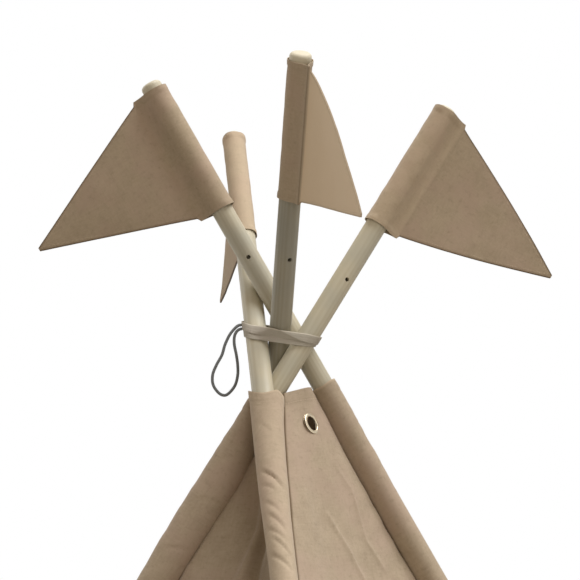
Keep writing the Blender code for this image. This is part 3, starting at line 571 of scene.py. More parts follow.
def cloth(name, colour, shade, pitch=0.0011, roughness=0.9):
    """Woven cotton. Its colour moves between two tones with the slubs, the clouding of the dye and wear. Painted shade
    darkens it in the low places between the threads and where an attribute marks seams, folds and edges in shade;
    painted light pales it where another attribute says so, which also draws a plain pale rim along the sleeves' tops.
    Stitches show where the attribute sewn passes a thread's width."""
    material, tree, shader = new_material(name, roughness)
    shader.inputs["Sheen Weight"].default_value = 0.28
    shader.inputs["Sheen Roughness"].default_value = 0.35
    shader.inputs["Specular IOR Level"].default_value = 0.2
    chart = add_node(tree, "ShaderNodeUVMap", uv_map="chart").outputs[0]
    woven = add_node(tree, "ShaderNodeGroup", [], node_tree=WEAVE)
    tree.links.new(chart, woven.inputs["Chart"])
    woven.inputs["Pitch"].default_value = pitch
    threads, slubs = woven.outputs["Threads"], woven.outputs["Slubs"]
    cloud, fleck = noise(tree, chart, 55.0, 5.0, 0.62), noise(tree, chart, 330.0, 3.0)
    tone = weighted(tree, (ramp(tree, cloud, 0.30, 0.70), 0.45), (ramp(tree, slubs, 0.35, 0.65), 0.30),
                    (ramp(tree, fleck, 0.35, 0.65), 0.25))
    dyed = mix_colour(tree, tone, (*shade, 1), (*colour, 1))
    tint = ramp(tree, noise(tree, chart, 16.0, 3.0), 0.42, 0.66, 0.0, 0.60)
    dyed = mix_colour(tree, tint, dyed, (0.97 * colour[0], 0.90 * colour[1], 0.96 * colour[2], 1))
    stain = ramp(tree, noise(tree, chart, 150.0, 4.0, 0.7), 0.50, 0.76, 0.0, 0.36)
    dyed = mix_colour(tree, stain, dyed, tuple(0.62 * c for c in shade) + (1,))
    # Painted shade: the low places between the threads are drawn darker.
    dyed = mix_colour(tree, ramp(tree, threads, 0.0, 0.75, 0.16, 0.0), dyed, tuple(0.5 * c for c in shade) + (1,))
    # Paler where the attribute says so: painted light, and a plain pale rim along the sleeves' tops.
    dyed = mix_colour(tree, attribute(tree, "pale_rim_and_painted_light"), dyed, tuple(min(1.0, 1.75 * c) for c in colour) + (1,))
    # Painted shade: darker where the attribute says so, at seams, folds and edges in shade.
    dyed = mix_colour(tree, attribute(tree, "crease_and_painted_shade"), dyed, (0.130, 0.085, 0.045, 1))
    sewn = add_node(tree, "ShaderNodeAttribute", attribute_name="sewn")
    stitch_parts = add_node(tree, "ShaderNodeSeparateXYZ", [("Vector", sewn.outputs["Vector"])])
    dash = maths(tree, "SINE", maths(tree, "MULTIPLY", stitch_parts.outputs["X"], 2 * np.pi / 0.0036))
    near = ramp(tree, maths(tree, "ABSOLUTE", stitch_parts.outputs["Y"]), 0.0002, 0.0006, 1.0, 0.0)
    stitch = maths(tree, "MULTIPLY", near, ramp(tree, dash, -0.55, -0.2))
    dyed = mix_colour(tree, maths(tree, "MULTIPLY", stitch, 0.45), dyed,
                      tuple(min(1.0, 1.35 * c) for c in colour) + (1,))
    tree.links.new(dyed, shader.inputs["Base Color"])
    relief = weighted(tree, (threads, 0.35), (slubs, 0.5), (stitch, 1.2))
    raise_surface(tree, shader, relief, 0.45, 0.0006)
    tree.links.new(ramp(tree, cloud, 0.2, 0.8, roughness - 0.06, roughness + 0.06), shader.inputs["Roughness"])
    return material


tape = cloth("cotton_tape", (0.47, 0.44, 0.375), (0.38, 0.355, 0.30), pitch=0.0008)
strap = surface("wound_strap", *wound_tape(), around=True)
rework(strap.data, close_ends)
# Painted highlight: the tape is drawn paler along its upper edge.
mark(strap, "pale_rim_and_painted_light", 0.8 * smooth_step(across_tape, 0.84, 0.92) + np.zeros((STRAP_RINGS, 1)))
settle(strap, 50.0, 1e-6)
strap.data.materials.append(tape)
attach(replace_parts(strap, "tie_strap"), "front_right")


# The cord loop
# A thin grey braided cord comes out of the strap on the left, hangs as one loop beside the front right pole, and
# goes back under the strap. The route's points are the solid's own.

CORD_DIAMETER = 0.0035
CORD_ROUTE = np.array((
    (-0.0470, -0.0223, 1.3357), (-0.0508, -0.0245, 1.3348), (-0.0545, -0.0267, 1.3313),
    (-0.0597, -0.0293, 1.3241), (-0.0653, -0.0309, 1.3127), (-0.0693, -0.0313, 1.3013),
    (-0.0755, -0.0335, 1.2899), (-0.0803, -0.0345, 1.2785), (-0.0810, -0.0325, 1.2671),
    (-0.0767, -0.0276, 1.2580), (-0.0717, -0.0230, 1.2552), (-0.0664, -0.0200, 1.2585),
    (-0.0605, -0.0173, 1.2671), (-0.0570, -0.0172, 1.2785), (-0.0558, -0.0189, 1.2899),
    (-0.0559, -0.0214, 1.3013), (-0.0565, -0.0244, 1.3127), (-0.0559, -0.0255, 1.3205),
    (-0.0540, -0.0253, 1.3262), (-0.0505, -0.0240, 1.3300), (-0.0467, -0.0216, 1.3312),
))


def through(route, per_span):
    """A smooth line through the route: between two points it is the cubic with slopes (next - previous) / 2."""
    ends = np.concatenate([[2 * route[0] - route[1]], route, [2 * route[-1] - route[-2]]])
    t = (np.arange(per_span) / per_span)[None, :, None]
    a, b, c, d = (ends[k:len(ends) - 3 + k][:, None, :] for k in range(4))
    line = 0.5 * (2 * b + (c - a) * t + (2 * a - 5 * b + 4 * c - d) * t ** 2 + (3 * b - a - 3 * c + d) * t ** 3)
    return np.concatenate([line.reshape(-1, 3), route[-1:]])


def tube(name, line, radius, columns=20):
    """A round tube along a line: each ring lies square to the line, with its first point carried on from the last
    ring's so that the tube doesn't twist."""
    ahead = np.gradient(line, axis=0)
    ahead /= np.linalg.norm(ahead, axis=1)[:, None]
    side = np.empty_like(line)
    side[0] = np.cross(ahead[0], (0.0, 0.0, 1.0))
    for k in range(1, len(line)):
        side[k] = side[k - 1] - ahead[k] * (side[k - 1] @ ahead[k])
        side[k] /= np.linalg.norm(side[k])
    side[0] /= np.linalg.norm(side[0])
    up = np.cross(ahead, side)
    turn = np.arange(columns) * 2 * np.pi / columns
    ring = radius[:, None, None] * (np.cos(turn)[None, :, None] * side[:, None]
                                    + np.sin(turn)[None, :, None] * up[:, None])
    run = np.concatenate([[0.0], np.cumsum(np.linalg.norm(np.diff(line, axis=0), axis=1))])
    chart = lay_out(np.append(turn, 2 * np.pi)[None, :] / (2 * np.pi), run[:, None])
    return surface(name, line[:, None] + ring, chart, around=True), run[-1]


def braid():
    """A round braid: two families of strands that wind opposite ways, abs(sin(k v + 8 pi u)) and its mirror."""
    material, tree, shader = new_material("grey_braid", 0.75)
    chart = add_node(tree, "ShaderNodeUVMap", uv_map="chart").outputs[0]
    parts = add_node(tree, "ShaderNodeSeparateXYZ", [("Vector", chart)])
    along = maths(tree, "MULTIPLY", parts.outputs["Y"], np.pi / 0.0011)
    strands = []
    for way_round in (8 * np.pi, -8 * np.pi):
        wound = maths(tree, "ADD", maths(tree, "MULTIPLY", parts.outputs["X"], way_round), along)
        strands.append(maths(tree, "ABSOLUTE", maths(tree, "SINE", wound)))
    height = maths(tree, "MAXIMUM", *strands)
    fuzz = noise(tree, object_place(tree), 900.0, 2.0)
    # Painted shade: the braid is drawn darker in the low places between its strands.
    tone = maths(tree, "MULTIPLY", ramp(tree, height, 0.3, 1.0), ramp(tree, fuzz, 0.2, 0.8, 0.7, 1.0))
    tree.links.new(mix_colour(tree, tone, (0.11, 0.12, 0.13, 1), (0.28, 0.30, 0.315, 1)), shader.inputs["Base Color"])
    tree.links.new(ramp(tree, fuzz, 0.2, 0.8, 0.68, 0.82), shader.inputs["Roughness"])
    raise_surface(tree, shader, height, 0.5, 0.0003)
    return material


cord_line = through(CORD_ROUTE, 12)
from_end = np.minimum(np.arange(len(cord_line)), np.arange(len(cord_line))[::-1])
end_round = 1.0 - np.clip(1.0 - from_end / 3.0, 0, 1) ** 2
loop, cord_length = tube("cord_loop", cord_line, CORD_DIAMETER / 2 * np.sqrt(np.maximum(end_round, 0.04)))
rework(loop.data, close_ends)
loop.data.materials.append(braid())
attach(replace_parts(loop, "hanging_loop"), "front_right")


# Sleeves
# Each pole runs through a loose canvas pocket that the two neighbouring sides are sewn into. The pocket is round
# over the pole and pinched to a seam towards each neighbour. Its top has a turned hem.

CANVAS, HEM = 0.0010, 0.045

# Seams: their reach from the pole and how much less it is at the top, their share of half the gap between two poles,
# and how far they tuck inward, between which places along the pole
SEAM_REACH, SEAM_DRAWN, SEAM_SHARE = 0.019, 0.0028, 0.62
SEAM_TUCK, TUCK_SPAN = np.radians(38.0), (1.04, 1.15)

# Sleeves: their shift towards the inside, a seam's least reach, their least radius, the cloth round the pole, the
# radius that its turns are measured at, their rows of stitches, and where their mesh grows fine, with its rows' pitch
SLEEVE_SHIFT, SLEEVE_OUTER, SLEEVE_INNER, SLEEVE_ROUND, CLOTH_RADIUS = 0.0004, 0.0148, 0.0127, 0.104, 0.015
TOP_STITCHES, BOTTOM_STITCHES = 0.0148, 0.02
FINE_FROM, FINE_ROWS = 0.9, 0.0030
SLEEVE_HILLS = ((0.0004, 0.022), (0.0003, 0.009))

SIDES = {"right": ("front_right", "back_right"), "back": ("back_right", "back_left"),
         "left": ("back_left", "front_left"), "front": ("front_left", "front_right")}
canvas = cloth("natural_canvas", (0.518, 0.425, 0.312), (0.415, 0.332, 0.240))


def on_pole(corner, along):
    """Points on a pole's axis."""
    return foot[corner] + np.asarray(along)[..., None] * way[corner]


def seam_way(corner, neighbour, along):
    """The way from a pole to its seam with a neighbour, square to the pole: towards the neighbour, and above the door
    turned by SEAM_TUCK towards the inside of the tent, because there the side passes behind the pole."""
    height = TIE_HEIGHT / 2
    gap = on_pole(neighbour, height / way[neighbour][2]) - on_pole(corner, height / way[corner][2])
    gap -= way[corner] * (gap @ way[corner])
    gap /= np.linalg.norm(gap)
    inside = -out[corner] + gap * (out[corner] @ gap)
    tuck = SEAM_TUCK * smooth_step(np.asarray(along), *TUCK_SPAN)[..., None]
    return gap * np.cos(tuck) + inside / np.linalg.norm(inside) * np.sin(tuck)


def half_gap(corner, neighbour, along):
    """Half the way from points on a pole to its neighbour's axis."""
    return np.linalg.norm(np.cross(on_pole(corner, along) - foot[neighbour], way[neighbour]), axis=-1) / 2


def seam_reach(corner, neighbour, along):
    """How far a seam stands from its pole. It draws in where two poles come together."""
    widest = SEAM_REACH - SEAM_DRAWN * smooth_step(along, 1.38, 1.46)
    return np.clip(SEAM_SHARE * half_gap(corner, neighbour, along), SLEEVE_OUTER, widest)


sleeve_top = {corner: reach_along(corner, corner + "_sleeve")[1] for corner in CORNERS}
sleeve_top["front_right"], sleeve_top["front_left"] = 1.456, 1.447


def eased(count):
    """Steps from 0 to 1 that close up at both ends: (1 - cos(pi t)) / 2."""
    return (1 - np.cos(np.pi * np.linspace(0, 1, count))) / 2


def from_bearing(a, bearing):
    """The angle between two bearings, at most pi."""
    return np.abs((a - bearing + np.pi) % (2 * np.pi) - np.pi)


def soft_noise(u, v, scale, seed):
    """Smooth random hills about scale wide: a seeded lattice of numbers, blended with cubic steps."""
    lattice = np.random.default_rng(seed).uniform(-1, 1, (64, 64))
    a, b = np.asarray(u) / scale, np.asarray(v) / scale
    i, j = np.floor(a).astype(int), np.floor(b).astype(int)
    s, t = a - i, b - j
    s, t = s * s * (3 - 2 * s), t * t * (3 - 2 * t)
    near = lattice[i % 64, j % 64] * (1 - s) + lattice[(i + 1) % 64, j % 64] * s
    far = lattice[i % 64, (j + 1) % 64] * (1 - s) + lattice[(i + 1) % 64, (j + 1) % 64] * s
    return near * (1 - t) + far * t


def hills(u, v, layers, seed):
    """Soft noise in layers of (height, width)."""
    return sum(height * soft_noise(u, v, width, seed + k) for k, (height, width) in enumerate(layers))


def pucker(u, v, place, lean, length, width, depth):
    """One pinched wrinkle: a trough with a lip on one side, depth * (1.6 y - 0.5) * exp(-y^2 - x^4), along a short
    bent line that leans by lean, in metres on the cloth."""
    du, dv = u - place[0], v - place[1]
    x = (du * np.cos(lean) + dv * np.sin(lean)) / length
    y = (-du * np.sin(lean) + dv * np.cos(lean)) / width + 0.5 * x * x
    return depth * (1.6 * y - 0.5) * np.exp(-y * y - x ** 4)


# Each wrinkle: round the pole, down from the sleeve's top, lean, length, width and depth
SLEEVE_WRINKLES = {
    "front_right": ((-0.004, 0.060, -0.80, 0.010, 0.0020, 0.0006), (-0.001, 0.130, -0.85, 0.017, 0.0024, 0.0021),
                    (-0.007, 0.142, -0.70, 0.010, 0.0019, 0.0012), (-0.005, 0.168, -0.85, 0.012, 0.0021, 0.0010),
                    (-0.002, 0.188, -0.95, 0.015, 0.0021, 0.0014), (-0.004, 0.204, -0.80, 0.014, 0.0020, 0.0013),
                    (0.001, 0.222, -0.95, 0.016, 0.0020, 0.0016), (-0.002, 0.240, -0.85, 0.015, 0.0021, 0.0016)),
    "back_right": ((-0.012, 0.060, 0.5, 0.011, 0.0024, 0.0004), (-0.014, 0.115, 0.4, 0.012, 0.0024, 0.0004),
                   (-0.012, 0.180, 0.5, 0.012, 0.0024, 0.0005)),
    "front_left": ((0.020, 0.070, 0.5, 0.012, 0.0026, 0.0005), (0.022, 0.125, 0.3, 0.013, 0.0026, 0.0005),
                   (0.020, 0.190, 0.5, 0.013, 0.0026, 0.0006)),
    "back_left": ((0.0, 0.080, 0.4, 0.012, 0.0024, 0.0008), (0.004, 0.150, -0.4, 0.012, 0.0024, 0.0008)),
}

# How much lower a sleeve's top is cut on its outer face, and on its face towards +Y
TOP_SLANT = {"front_right": 0.0135, "back_right": 0.0, "back_left": 0.002, "front_left": 0.002}
TOP_TILT = {"front_right": 0.012, "back_right": 0.0, "back_left": 0.0, "front_left": 0.0}

# How much painted light pales each sleeve, and how much painted shade darkens it
SLEEVE_PAINTED_LIGHT_AND_SHADE = {"front_right": (0.14, 0.0), "back_right": (0.0, 0.03), "back_left": (0.0, 0.0),
              "front_left": (0.0, 0.05)}

# Each pocket's outline along its pole: height, half-width, how far its middle stands to the pole's right, half-depth
POCKETS = {
    "front_right": ((0.70, 0.0155, 0.0, 0.0150), (1.10, 0.0145, 0.0, 0.0148), (1.22, 0.0138, -0.0003, 0.0146),
                    (1.281, 0.0146, -0.0007, 0.0146), (1.318, 0.0156, -0.0004, 0.0146), (1.356, 0.0160, 0.0, 0.0146),
                    (1.410, 0.0170, 0.0015, 0.0144), (1.455, 0.0186, 0.0034, 0.0140), (1.470, 0.0186, 0.0034, 0.0138)),
    "back_right": ((0.70, 0.0155, 0.0, 0.0150), (1.10, 0.0143, -0.0022, 0.0146), (1.216, 0.0145, -0.0022, 0.0146),
                   (1.31, 0.0146, -0.0019, 0.0146), (1.404, 0.0146, -0.0004, 0.0146), (1.455, 0.0136, 0.0010, 0.0138)),
    "back_left": ((0.70, 0.0155, 0.0, 0.0150), (1.44, 0.0150, 0.0, 0.0146)),
    "front_left": ((0.80, 0.0158, 0.0, 0.0150), (1.10, 0.0168, -0.0015, 0.0152), (1.204, 0.0176, -0.0022, 0.0154),
                   (1.255, 0.0198, -0.0016, 0.0156), (1.308, 0.0212, -0.0003, 0.0156), (1.362, 0.0220, 0.0012, 0.0152),
                   (1.410, 0.0195, -0.0005, 0.0146), (1.440, 0.0170, -0.0030, 0.0142)),
}


def pocket_outline(corner, s, a):
    """A pocket's radius at turn a: where a ray from the pole's axis leaves an oval with half-width w to the side and
    half-depth d, its middle shifted by e, so that ((r cos b - e) / w)^2 + (r sin b / d)^2 = 1."""
    height, half_width, shift, half_depth = np.transpose(POCKETS[corner])
    w, e, d = (np.interp(s, height, values) for values in (half_width, shift, half_depth))
    side = across_view - Vector(way[corner]) * across_view.dot(Vector(way[corner]))
    b = a - np.arctan2(side @ Vector(flank[corner]), side @ Vector(out[corner]))
    m = (np.cos(b) / w) ** 2 + (np.sin(b) / d) ** 2
    n = e * np.cos(b) / w ** 2
    return (n + np.sqrt(n * n - m * ((e / w) ** 2 - 1))) / m


def sleeve(corner, seed):
    """A pocket's skin. Its radius is that of its outline with soft hills, wrinkles and a hem added, or of the straight
    lines that run from it to each seam's tip: radius / cos(spread - off), for the angle off the seam's bearing."""
    top = sleeve_top[corner]
    along = np.concatenate([np.linspace(HEM / way[corner][2], FINE_FROM, 88)[:-1],
                            np.linspace(FINE_FROM, top, int((top - FINE_FROM) / FINE_ROWS))])
    bearings = []
    for pair in SIDES.values():
        if corner in pair:
            other = pair[1 - pair.index(corner)]
            toward = seam_way(corner, other, along)
            bearings.append((np.arctan2(toward @ flank[corner], toward @ out[corner])[:, None], other))
    bearings.sort(key=lambda bearing: bearing[0][0, 0])
    first, second = bearings[0][0], bearings[1][0]
    outer = first + (second - first) * eased(97)[:-1]
    back = second + (first + 2 * np.pi - second) * eased(37)[:-1]
    s, a = along[:, None], np.concatenate([outer, back], axis=1)
    drop = top - s
    u, facing = a * CLOTH_RADIUS, np.clip(np.cos(a), 0, 1)
    skin = pocket_outline(corner, s, a) + hills(u, s, SLEEVE_HILLS, seed) * facing
    for x, d, lean, length, width, depth in SLEEVE_WRINKLES[corner]:
        skin = skin + pucker(u, -drop, (x, -d), lean, length, width, depth)
    rng = np.random.default_rng(seed + 5)
    for d in np.arange(0.27, top - 0.1, 0.032):
        spot = (rng.uniform(-0.014, 0.014), -(d + rng.uniform(-0.01, 0.01)))
        skin = skin + pucker(u, -drop, spot, rng.uniform(-0.6, 0.6), 0.013, 0.0026, rng.uniform(0.0004, 0.0010))
    skin = skin + 0.0003 * smooth_step(-drop, -0.0155, -0.0140)
    skin = skin - 0.0003 * np.exp(-((drop - TOP_STITCHES) / 0.0007) ** 2)
    skin = np.maximum(skin, SLEEVE_INNER)
    for bearing, other in bearings:
        tip = np.maximum(seam_reach(corner, other, s), skin * 1.0005)
        spread, off = np.arccos(np.clip(skin / tip, 0, 1)), from_bearing(a, bearing)
        skin = np.where(off < spread, skin / np.cos(spread - off), skin)
    to_back = smooth_step(np.cos(a - np.arctan2(flank[corner][1], out[corner][1])), 0.0, 0.75)
    rise = TOP_SLANT[corner] * facing + TOP_TILT[corner] * to_back
    ripple = 0.0008 * soft_noise(u, 0 * s, 0.014, seed + 8) * smooth_step(s, top - 0.03, top)
    lowered = s - rise * smooth_step(s, top - 0.06, top) + ripple
    points = by_pole(corner, lowered, a + 0 * s, skin) - SLEEVE_SHIFT * out[corner]
    points[0] -= way[corner] * ((points[0, :, 2:] - HEM) / way[corner][2])
    chart = lay_out(np.append(a, a[:, :1] + 2 * np.pi, axis=1) * CLOTH_RADIUS, s)
    pocket = surface(corner + "_canvas_sleeve", points, chart, around=True)
    from_seam = np.minimum(from_bearing(a, first), from_bearing(a, second)) * 0.018
    fade_out_and_painted_light, painted_sleeve_shade = SLEEVE_PAINTED_LIGHT_AND_SHADE[corner]
    # Painted shade: over the whole sleeve by its share, and along each seam.
    mark(pocket, "crease_and_painted_shade", np.maximum(painted_sleeve_shade, 0.55 * np.exp(-(from_seam / 0.0016) ** 2)) + 0 * s)
    # Painted light over the whole sleeve by its share, and a plain paler rim along its top.
    mark(pocket, "pale_rim_and_painted_light", np.maximum(fade_out_and_painted_light, 0.45 * smooth_step(-drop, -0.0012, -0.0006)) + 0 * a)
    row = np.minimum(np.abs(drop - TOP_STITCHES), np.abs(s - along[0] - BOTTOM_STITCHES))
    mark(pocket, "sewn", lay_out(a * CLOTH_RADIUS, row, 0.0 * a))
    settle(pocket, thickness=CANVAS, offset=1.0)
    pocket.data.materials.append(canvas)
    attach(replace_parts(pocket, corner + "_sleeve"), corner)


for number, corner in enumerate(CORNERS):
    sleeve(corner, 10 * number + 3)


# The sides
# Each side is one piece of canvas, sewn between two sleeves, cut wider than it hangs, so that it sags inward and
# throws long soft folds towards the crossing. Top and foot are hemmed.

PANEL_SAG, SAG_START, FOLD_DEPTH, FOLD_COUNT, SEAM_GAP = 0.022, 0.18, 0.004, 3, 0.0004
SIDE_HEM, SIDE_TOP_HEM, SEAM_STITCHES = 0.020, 0.014, 0.005
SIDE_HILLS = ((0.0016, 0.11), (0.0008, 0.035), (0.0003, 0.012))
SIDE_SEEDS = {"right": 41, "back": 52, "left": 63, "front": 74}

# Where the right side's slanted top edge ends along its two poles
RIGHT_TOP = (1.4538, 1.4655)

# How far the right side's stiff top stands out between its sleeves, where it carries the eyelet
TOP_BULGE = 0.0122

# Creases of the right side, as pairs of ends (share across, share up), with width and depth
RIGHT_CREASES = (((0.48, 0.887), (0.66, 0.815), 0.0026, 0.0022), ((0.80, 0.907), (0.755, 0.861), 0.0024, 0.0015),
                 ((0.755, 0.861), (0.81, 0.835), 0.0024, 0.0017), ((0.73, 0.925), (0.80, 0.905), 0.0030, 0.0010))

# How deep the front is gathered near its top, as (share up, depth), and its pleat's line, as (share up, across)
FRONT_GATHER = ((0.55, 0.0), (0.75, 0.006), (0.86, 0.016), (0.93, 0.018), (0.98, 0.008), (1.0, 0.0))
FRONT_PLEAT = ((0.80, 0.62), (0.86, 0.66), (0.90, 0.70), (0.935, 0.80), (0.97, 0.88), (1.0, 0.95))

# How far the eyelet is moved from the solid one's place, and the hole that it is pressed through
EYELET_MOVE, EYELET_HOLE = np.array((0.0008, -0.0027, -0.0015)), 0.0100


def seam_span(side, index):
    """Where a side's edge starts and ends along one of its two poles: at the hem, and where the seam draws in."""
    corner, neighbour = SIDES[side][index], SIDES[side][1 - index]
    edge = edge_point(side, index, np.array([0.0]))[0]
    along = np.linspace(1.0, sleeve_top[corner], 4000)
    wide = along[SEAM_SHARE * half_gap(corner, neighbour, along) >= SEAM_REACH]
    high = RIGHT_TOP[index] if side == "right" else min(wide.max(), sleeve_top[corner])
    return (HEM - edge[2]) / way[corner][2], high


def edge_point(side, index, along):
    """A side's edge, just off its pole's seam."""
    corner, neighbour = SIDES[side][index], SIDES[side][1 - index]
    reach = seam_reach(corner, neighbour, along) + SEAM_GAP
    return on_pole(corner, along) - SLEEVE_SHIFT * out[corner] + seam_way(corner, neighbour, along) * reach[..., None]


def side_edges(side, up):
    """The two edges of a side at the same share of its height."""
    found = []
    for index in (0, 1):
        low, high = seam_span(side, index)
        found.append(edge_point(side, index, low + (high - low) * up))
    return found


def inward_way(side):
    """A side's own normal, towards the middle of the tent."""
    (a, b), (c, d) = (side_edges(side, np.array([up])) for up in (0.0, 1.0))
    normal = np.cross((b - a)[0], (c + d - a - b)[0])
    normal /= np.linalg.norm(normal)
    return normal if normal @ a[0] < 0 else -normal


def hanging(side, x, up):
    """Points of a side: straight between its edges, plus the inward way times sag, folds, hills and seam beads. Also
    the place on the flat cloth, and the distance to the nearer seam."""
    left, right = side_edges(side, up[:, 0])
    wide = np.linalg.norm(right - left, axis=1)[:, None]
    tall = np.linalg.norm((side_edges(side, np.array([1.0]))[0] - side_edges(side, np.array([0.0]))[0]))
    bulge = np.sin(np.pi * x)
    sag = PANEL_SAG * bulge * np.sin(np.pi * (SAG_START + (1 - SAG_START) * up))
    fold = FOLD_DEPTH * bulge * np.sin(2 * np.pi * FOLD_COUNT * x) * np.sin(np.pi * (1 + up) / 2)
    u, v = (x - 0.5) * wide, up * tall
    seed = SIDE_SEEDS[side]
    rolling = bulge * hills(u + 9, v, SIDE_HILLS, seed)
    from_seam = np.minimum(x, 1 - x) * wide
    bead = 0.0012 * np.exp(-(from_seam / 0.0012) ** 2) - 0.0012 * np.exp(-((from_seam - 0.006) / 0.004) ** 2)
    bead = bead * smooth_step(wide, 0.0, 0.12)
    pulled = 0.0010 * smooth_step(from_seam, 0.07, 0.0) * soft_noise(0 * x + 3.0, v + 0.7 * from_seam, 0.016, seed + 3)
    inward = sag + fold + rolling + bead + pulled
    if side == "front":
        inward = inward + gathered_front(x, up)
    if side == "right":
        inward = inward - TOP_BULGE * (1 - (2 * x - 1) ** 4) * smooth_step(up, 0.78, 0.955)
        for crease_and_painted_shade in RIGHT_CREASES:
            inward = inward + crease_line(u, v, up, wide, tall, *crease_and_painted_shade)
    across = left[:, None] + (right - left)[:, None] * x[..., None]
    return across + inward[..., None] * inward_way(side), lay_out(u + 0 * v, v + 0 * u), from_seam + 0 * up


def gathered_front(x, up):
    """The slack near the crossing: a hollow, deepest towards the right pole, gather * sin(pi x^1.7), with one pleat
    of width 0.07 across, and a lip beside it that wavers down its length."""
    gather = np.interp(up, *np.transpose(FRONT_GATHER))
    line = np.interp(up, *np.transpose(FRONT_PLEAT)) + 0.02 * np.sin(70 * up) * smooth_step(1 - up, 0.02, 0.08)
    off = (x - line) / 0.07
    pleat = 0.45 * (np.exp(-off ** 2) - 0.55 * np.exp(-((off + 1.7) / 0.9) ** 2))
    return gather * (np.sin(np.pi * np.clip(x, 0, 1) ** 1.7) + pleat * np.sin(np.pi * np.clip(x, 0, 1)))


def crease_line(u, v, up, wide, tall, start, end, width, depth):
    """A sharp fold along a straight line in the cloth: depth * exp(-|y| / width), faded towards both ends."""
    (x0, y0), (x1, y1) = (((x - 0.5) * np.interp(rise, up[:, 0], wide[:, 0]), rise * tall) for x, rise in (start, end))
    run = np.hypot(x1 - x0, y1 - y0)
    ahead_x, ahead_y = (x1 - x0) / run, (y1 - y0) / run
    du, dv = u - x0, v - y0
    along, beside = du * ahead_x + dv * ahead_y, du * ahead_y - dv * ahead_x
    fade_out_and_painted_light = smooth_step(along, -0.01, 0.012) * smooth_step(-along, -run - 0.01, -run + 0.012)
    return -depth * fade_out_and_painted_light * np.exp(-np.abs(beside) / width)


def sleeve_painted_shadow(points):
    """Painted shade where the right side comes out from behind the front right sleeve, darkening it beside the sleeve:
    exp(-(y / width)^2) for the distance y past the sleeve's own half-width, square to the pole and to the view."""
    square = np.cross(np.array(look), way["front_right"])
    square *= np.sign(square @ np.array(across_view)) / np.linalg.norm(square)
    from_foot = points - foot["front_right"]
    height, half_width, shift, _ = np.transpose(POCKETS["front_right"])
    past = from_foot @ square - np.interp(from_foot @ way["front_right"], height, half_width + shift)
    return np.exp(-(np.where(past < 0, past / 0.0025, (past - 0.0004) / 0.0013)) ** 2)


def eyelet_place():
    """The canvas point nearest to where the eyelet's middle should be."""
    solid = node_points("eyelet")
    wanted = (solid.min(0) + solid.max(0)) / 2 + EYELET_MOVE
    share, up = np.meshgrid(np.linspace(0.5, 0.8, 61), np.linspace(0.95, 0.98, 61))
    spots = hanging("right", share, up)[0].reshape(-1, 3)
    return spots[np.linalg.norm(spots - wanted, axis=-1).argmin()]


def hang_canvas(name, side, nodes, rises, columns, x_of=None, hole=None):
    """One piece of a side over the given shares of its height, thickened, with its hems, marks and opening. x_of
    narrows it to a part of the side's width."""
    up, across = rises[:, None], (eased(columns) * 0.5 + np.linspace(0, 1, columns) * 0.5)[None, :]
    x = across + 0 * up if x_of is None else x_of(up, across)
    points, chart, from_seam = hanging(side, x, up)
    v = chart[..., 1]
    above_hem, below_top = v - (v.min() + SIDE_HEM), v - (v.max() - SIDE_TOP_HEM)
    lip = 0.0005 * smooth_step(-above_hem, -0.0003, 0.0003) + 0.0005 * smooth_step(below_top, -0.0003, 0.0003)
    points = points - lip[..., None] * inward_way(side)
    piece = surface(name, points, chart)
    # Painted shade along both seams; on the right side also beside the front right sleeve, and on the front over the
    # hollow near its top.
    shaded = 0.5 * np.exp(-(from_seam / 0.0012) ** 2)
    if side == "right":
        shaded = np.maximum(shaded, 0.92 * sleeve_painted_shadow(points))
    if side == "front":
        shaded = np.maximum(shaded, 0.08 + 0.24 * smooth_step(x, 0.45, 0.80) * smooth_step(up, 0.70, 0.88))
    mark(piece, "crease_and_painted_shade", shaded)
    row = np.minimum(np.minimum(np.abs(from_seam - SEAM_STITCHES), np.abs(above_hem)), np.abs(below_top))
    mark(piece, "sewn", lay_out(chart[..., 0] + v, row, 0 * row))

    def punched(work):
        gone = [f for f in work.faces if np.linalg.norm(f.calc_center_median() - Vector(hole)) < EYELET_HOLE]
        bmesh.ops.delete(work, geom=gone, context="FACES")

    if hole is not None:
        rework(piece.data, punched)
    settle(piece, thickness=CANVAS)
    piece.data.materials.append(canvas)
    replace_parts(piece, *nodes)
    return piece


eyelet_centre = eyelet_place()
tall_rows = np.concatenate([np.linspace(0.0, 0.74, 100)[:-1], np.linspace(0.74, 1.0, 130)])


def side_size(side, low=0.0, high=1.0):
    """Greatest width, height and area of a side between two shares of its height."""
    up = np.linspace(low, high, 60)
    left, right = side_edges(side, up)
    wide = np.linalg.norm(right - left, axis=1)
    tall = np.linalg.norm((left[-1] + right[-1] - left[0] - right[0]) / 2)
    return wide.max(), tall, float(((wide[1:] + wide[:-1]) / 2).mean() * tall)


for side, (left_pole, right_pole) in SIDES.items():
    if side == "front":
        continue
    piece = hang_canvas("canvas_side_" + side, side, ["panel_" + side], tall_rows, 150,
                        hole=eyelet_centre if side == "right" else None)
    span = side_edges(side, np.array([0.5]))
    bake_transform(piece)
    wide, tall, area = side_size(side)


# The door side
# Fixed canvas closes the front above the door. Below it two flaps, each sewn to its own sleeve, meet in the middle
# and swing out.

DOOR_GAP = 0.004
front_low, front_high = (side_edges("front", np.array([up]))[0][0, 2] for up in (0.0, 1.0))
split_up = (node_points("door_top")[:, 2].min() - front_low) / (front_high - front_low)
flap_top = max(node_points("door_flap_left")[:, 2].max(), node_points("door_flap_right")[:, 2].max())
flap_up = (flap_top - front_low) / (front_high - front_low)

over_door = hang_canvas("canvas_over_door", "front", ["door_top"], np.linspace(split_up, 1.0, 110), 120)
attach(over_door, "front_right")
seam_mid = side_edges("front", np.array([0.8]))
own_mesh(over_door)
wide, tall, area = side_size("front", split_up, 1.0)

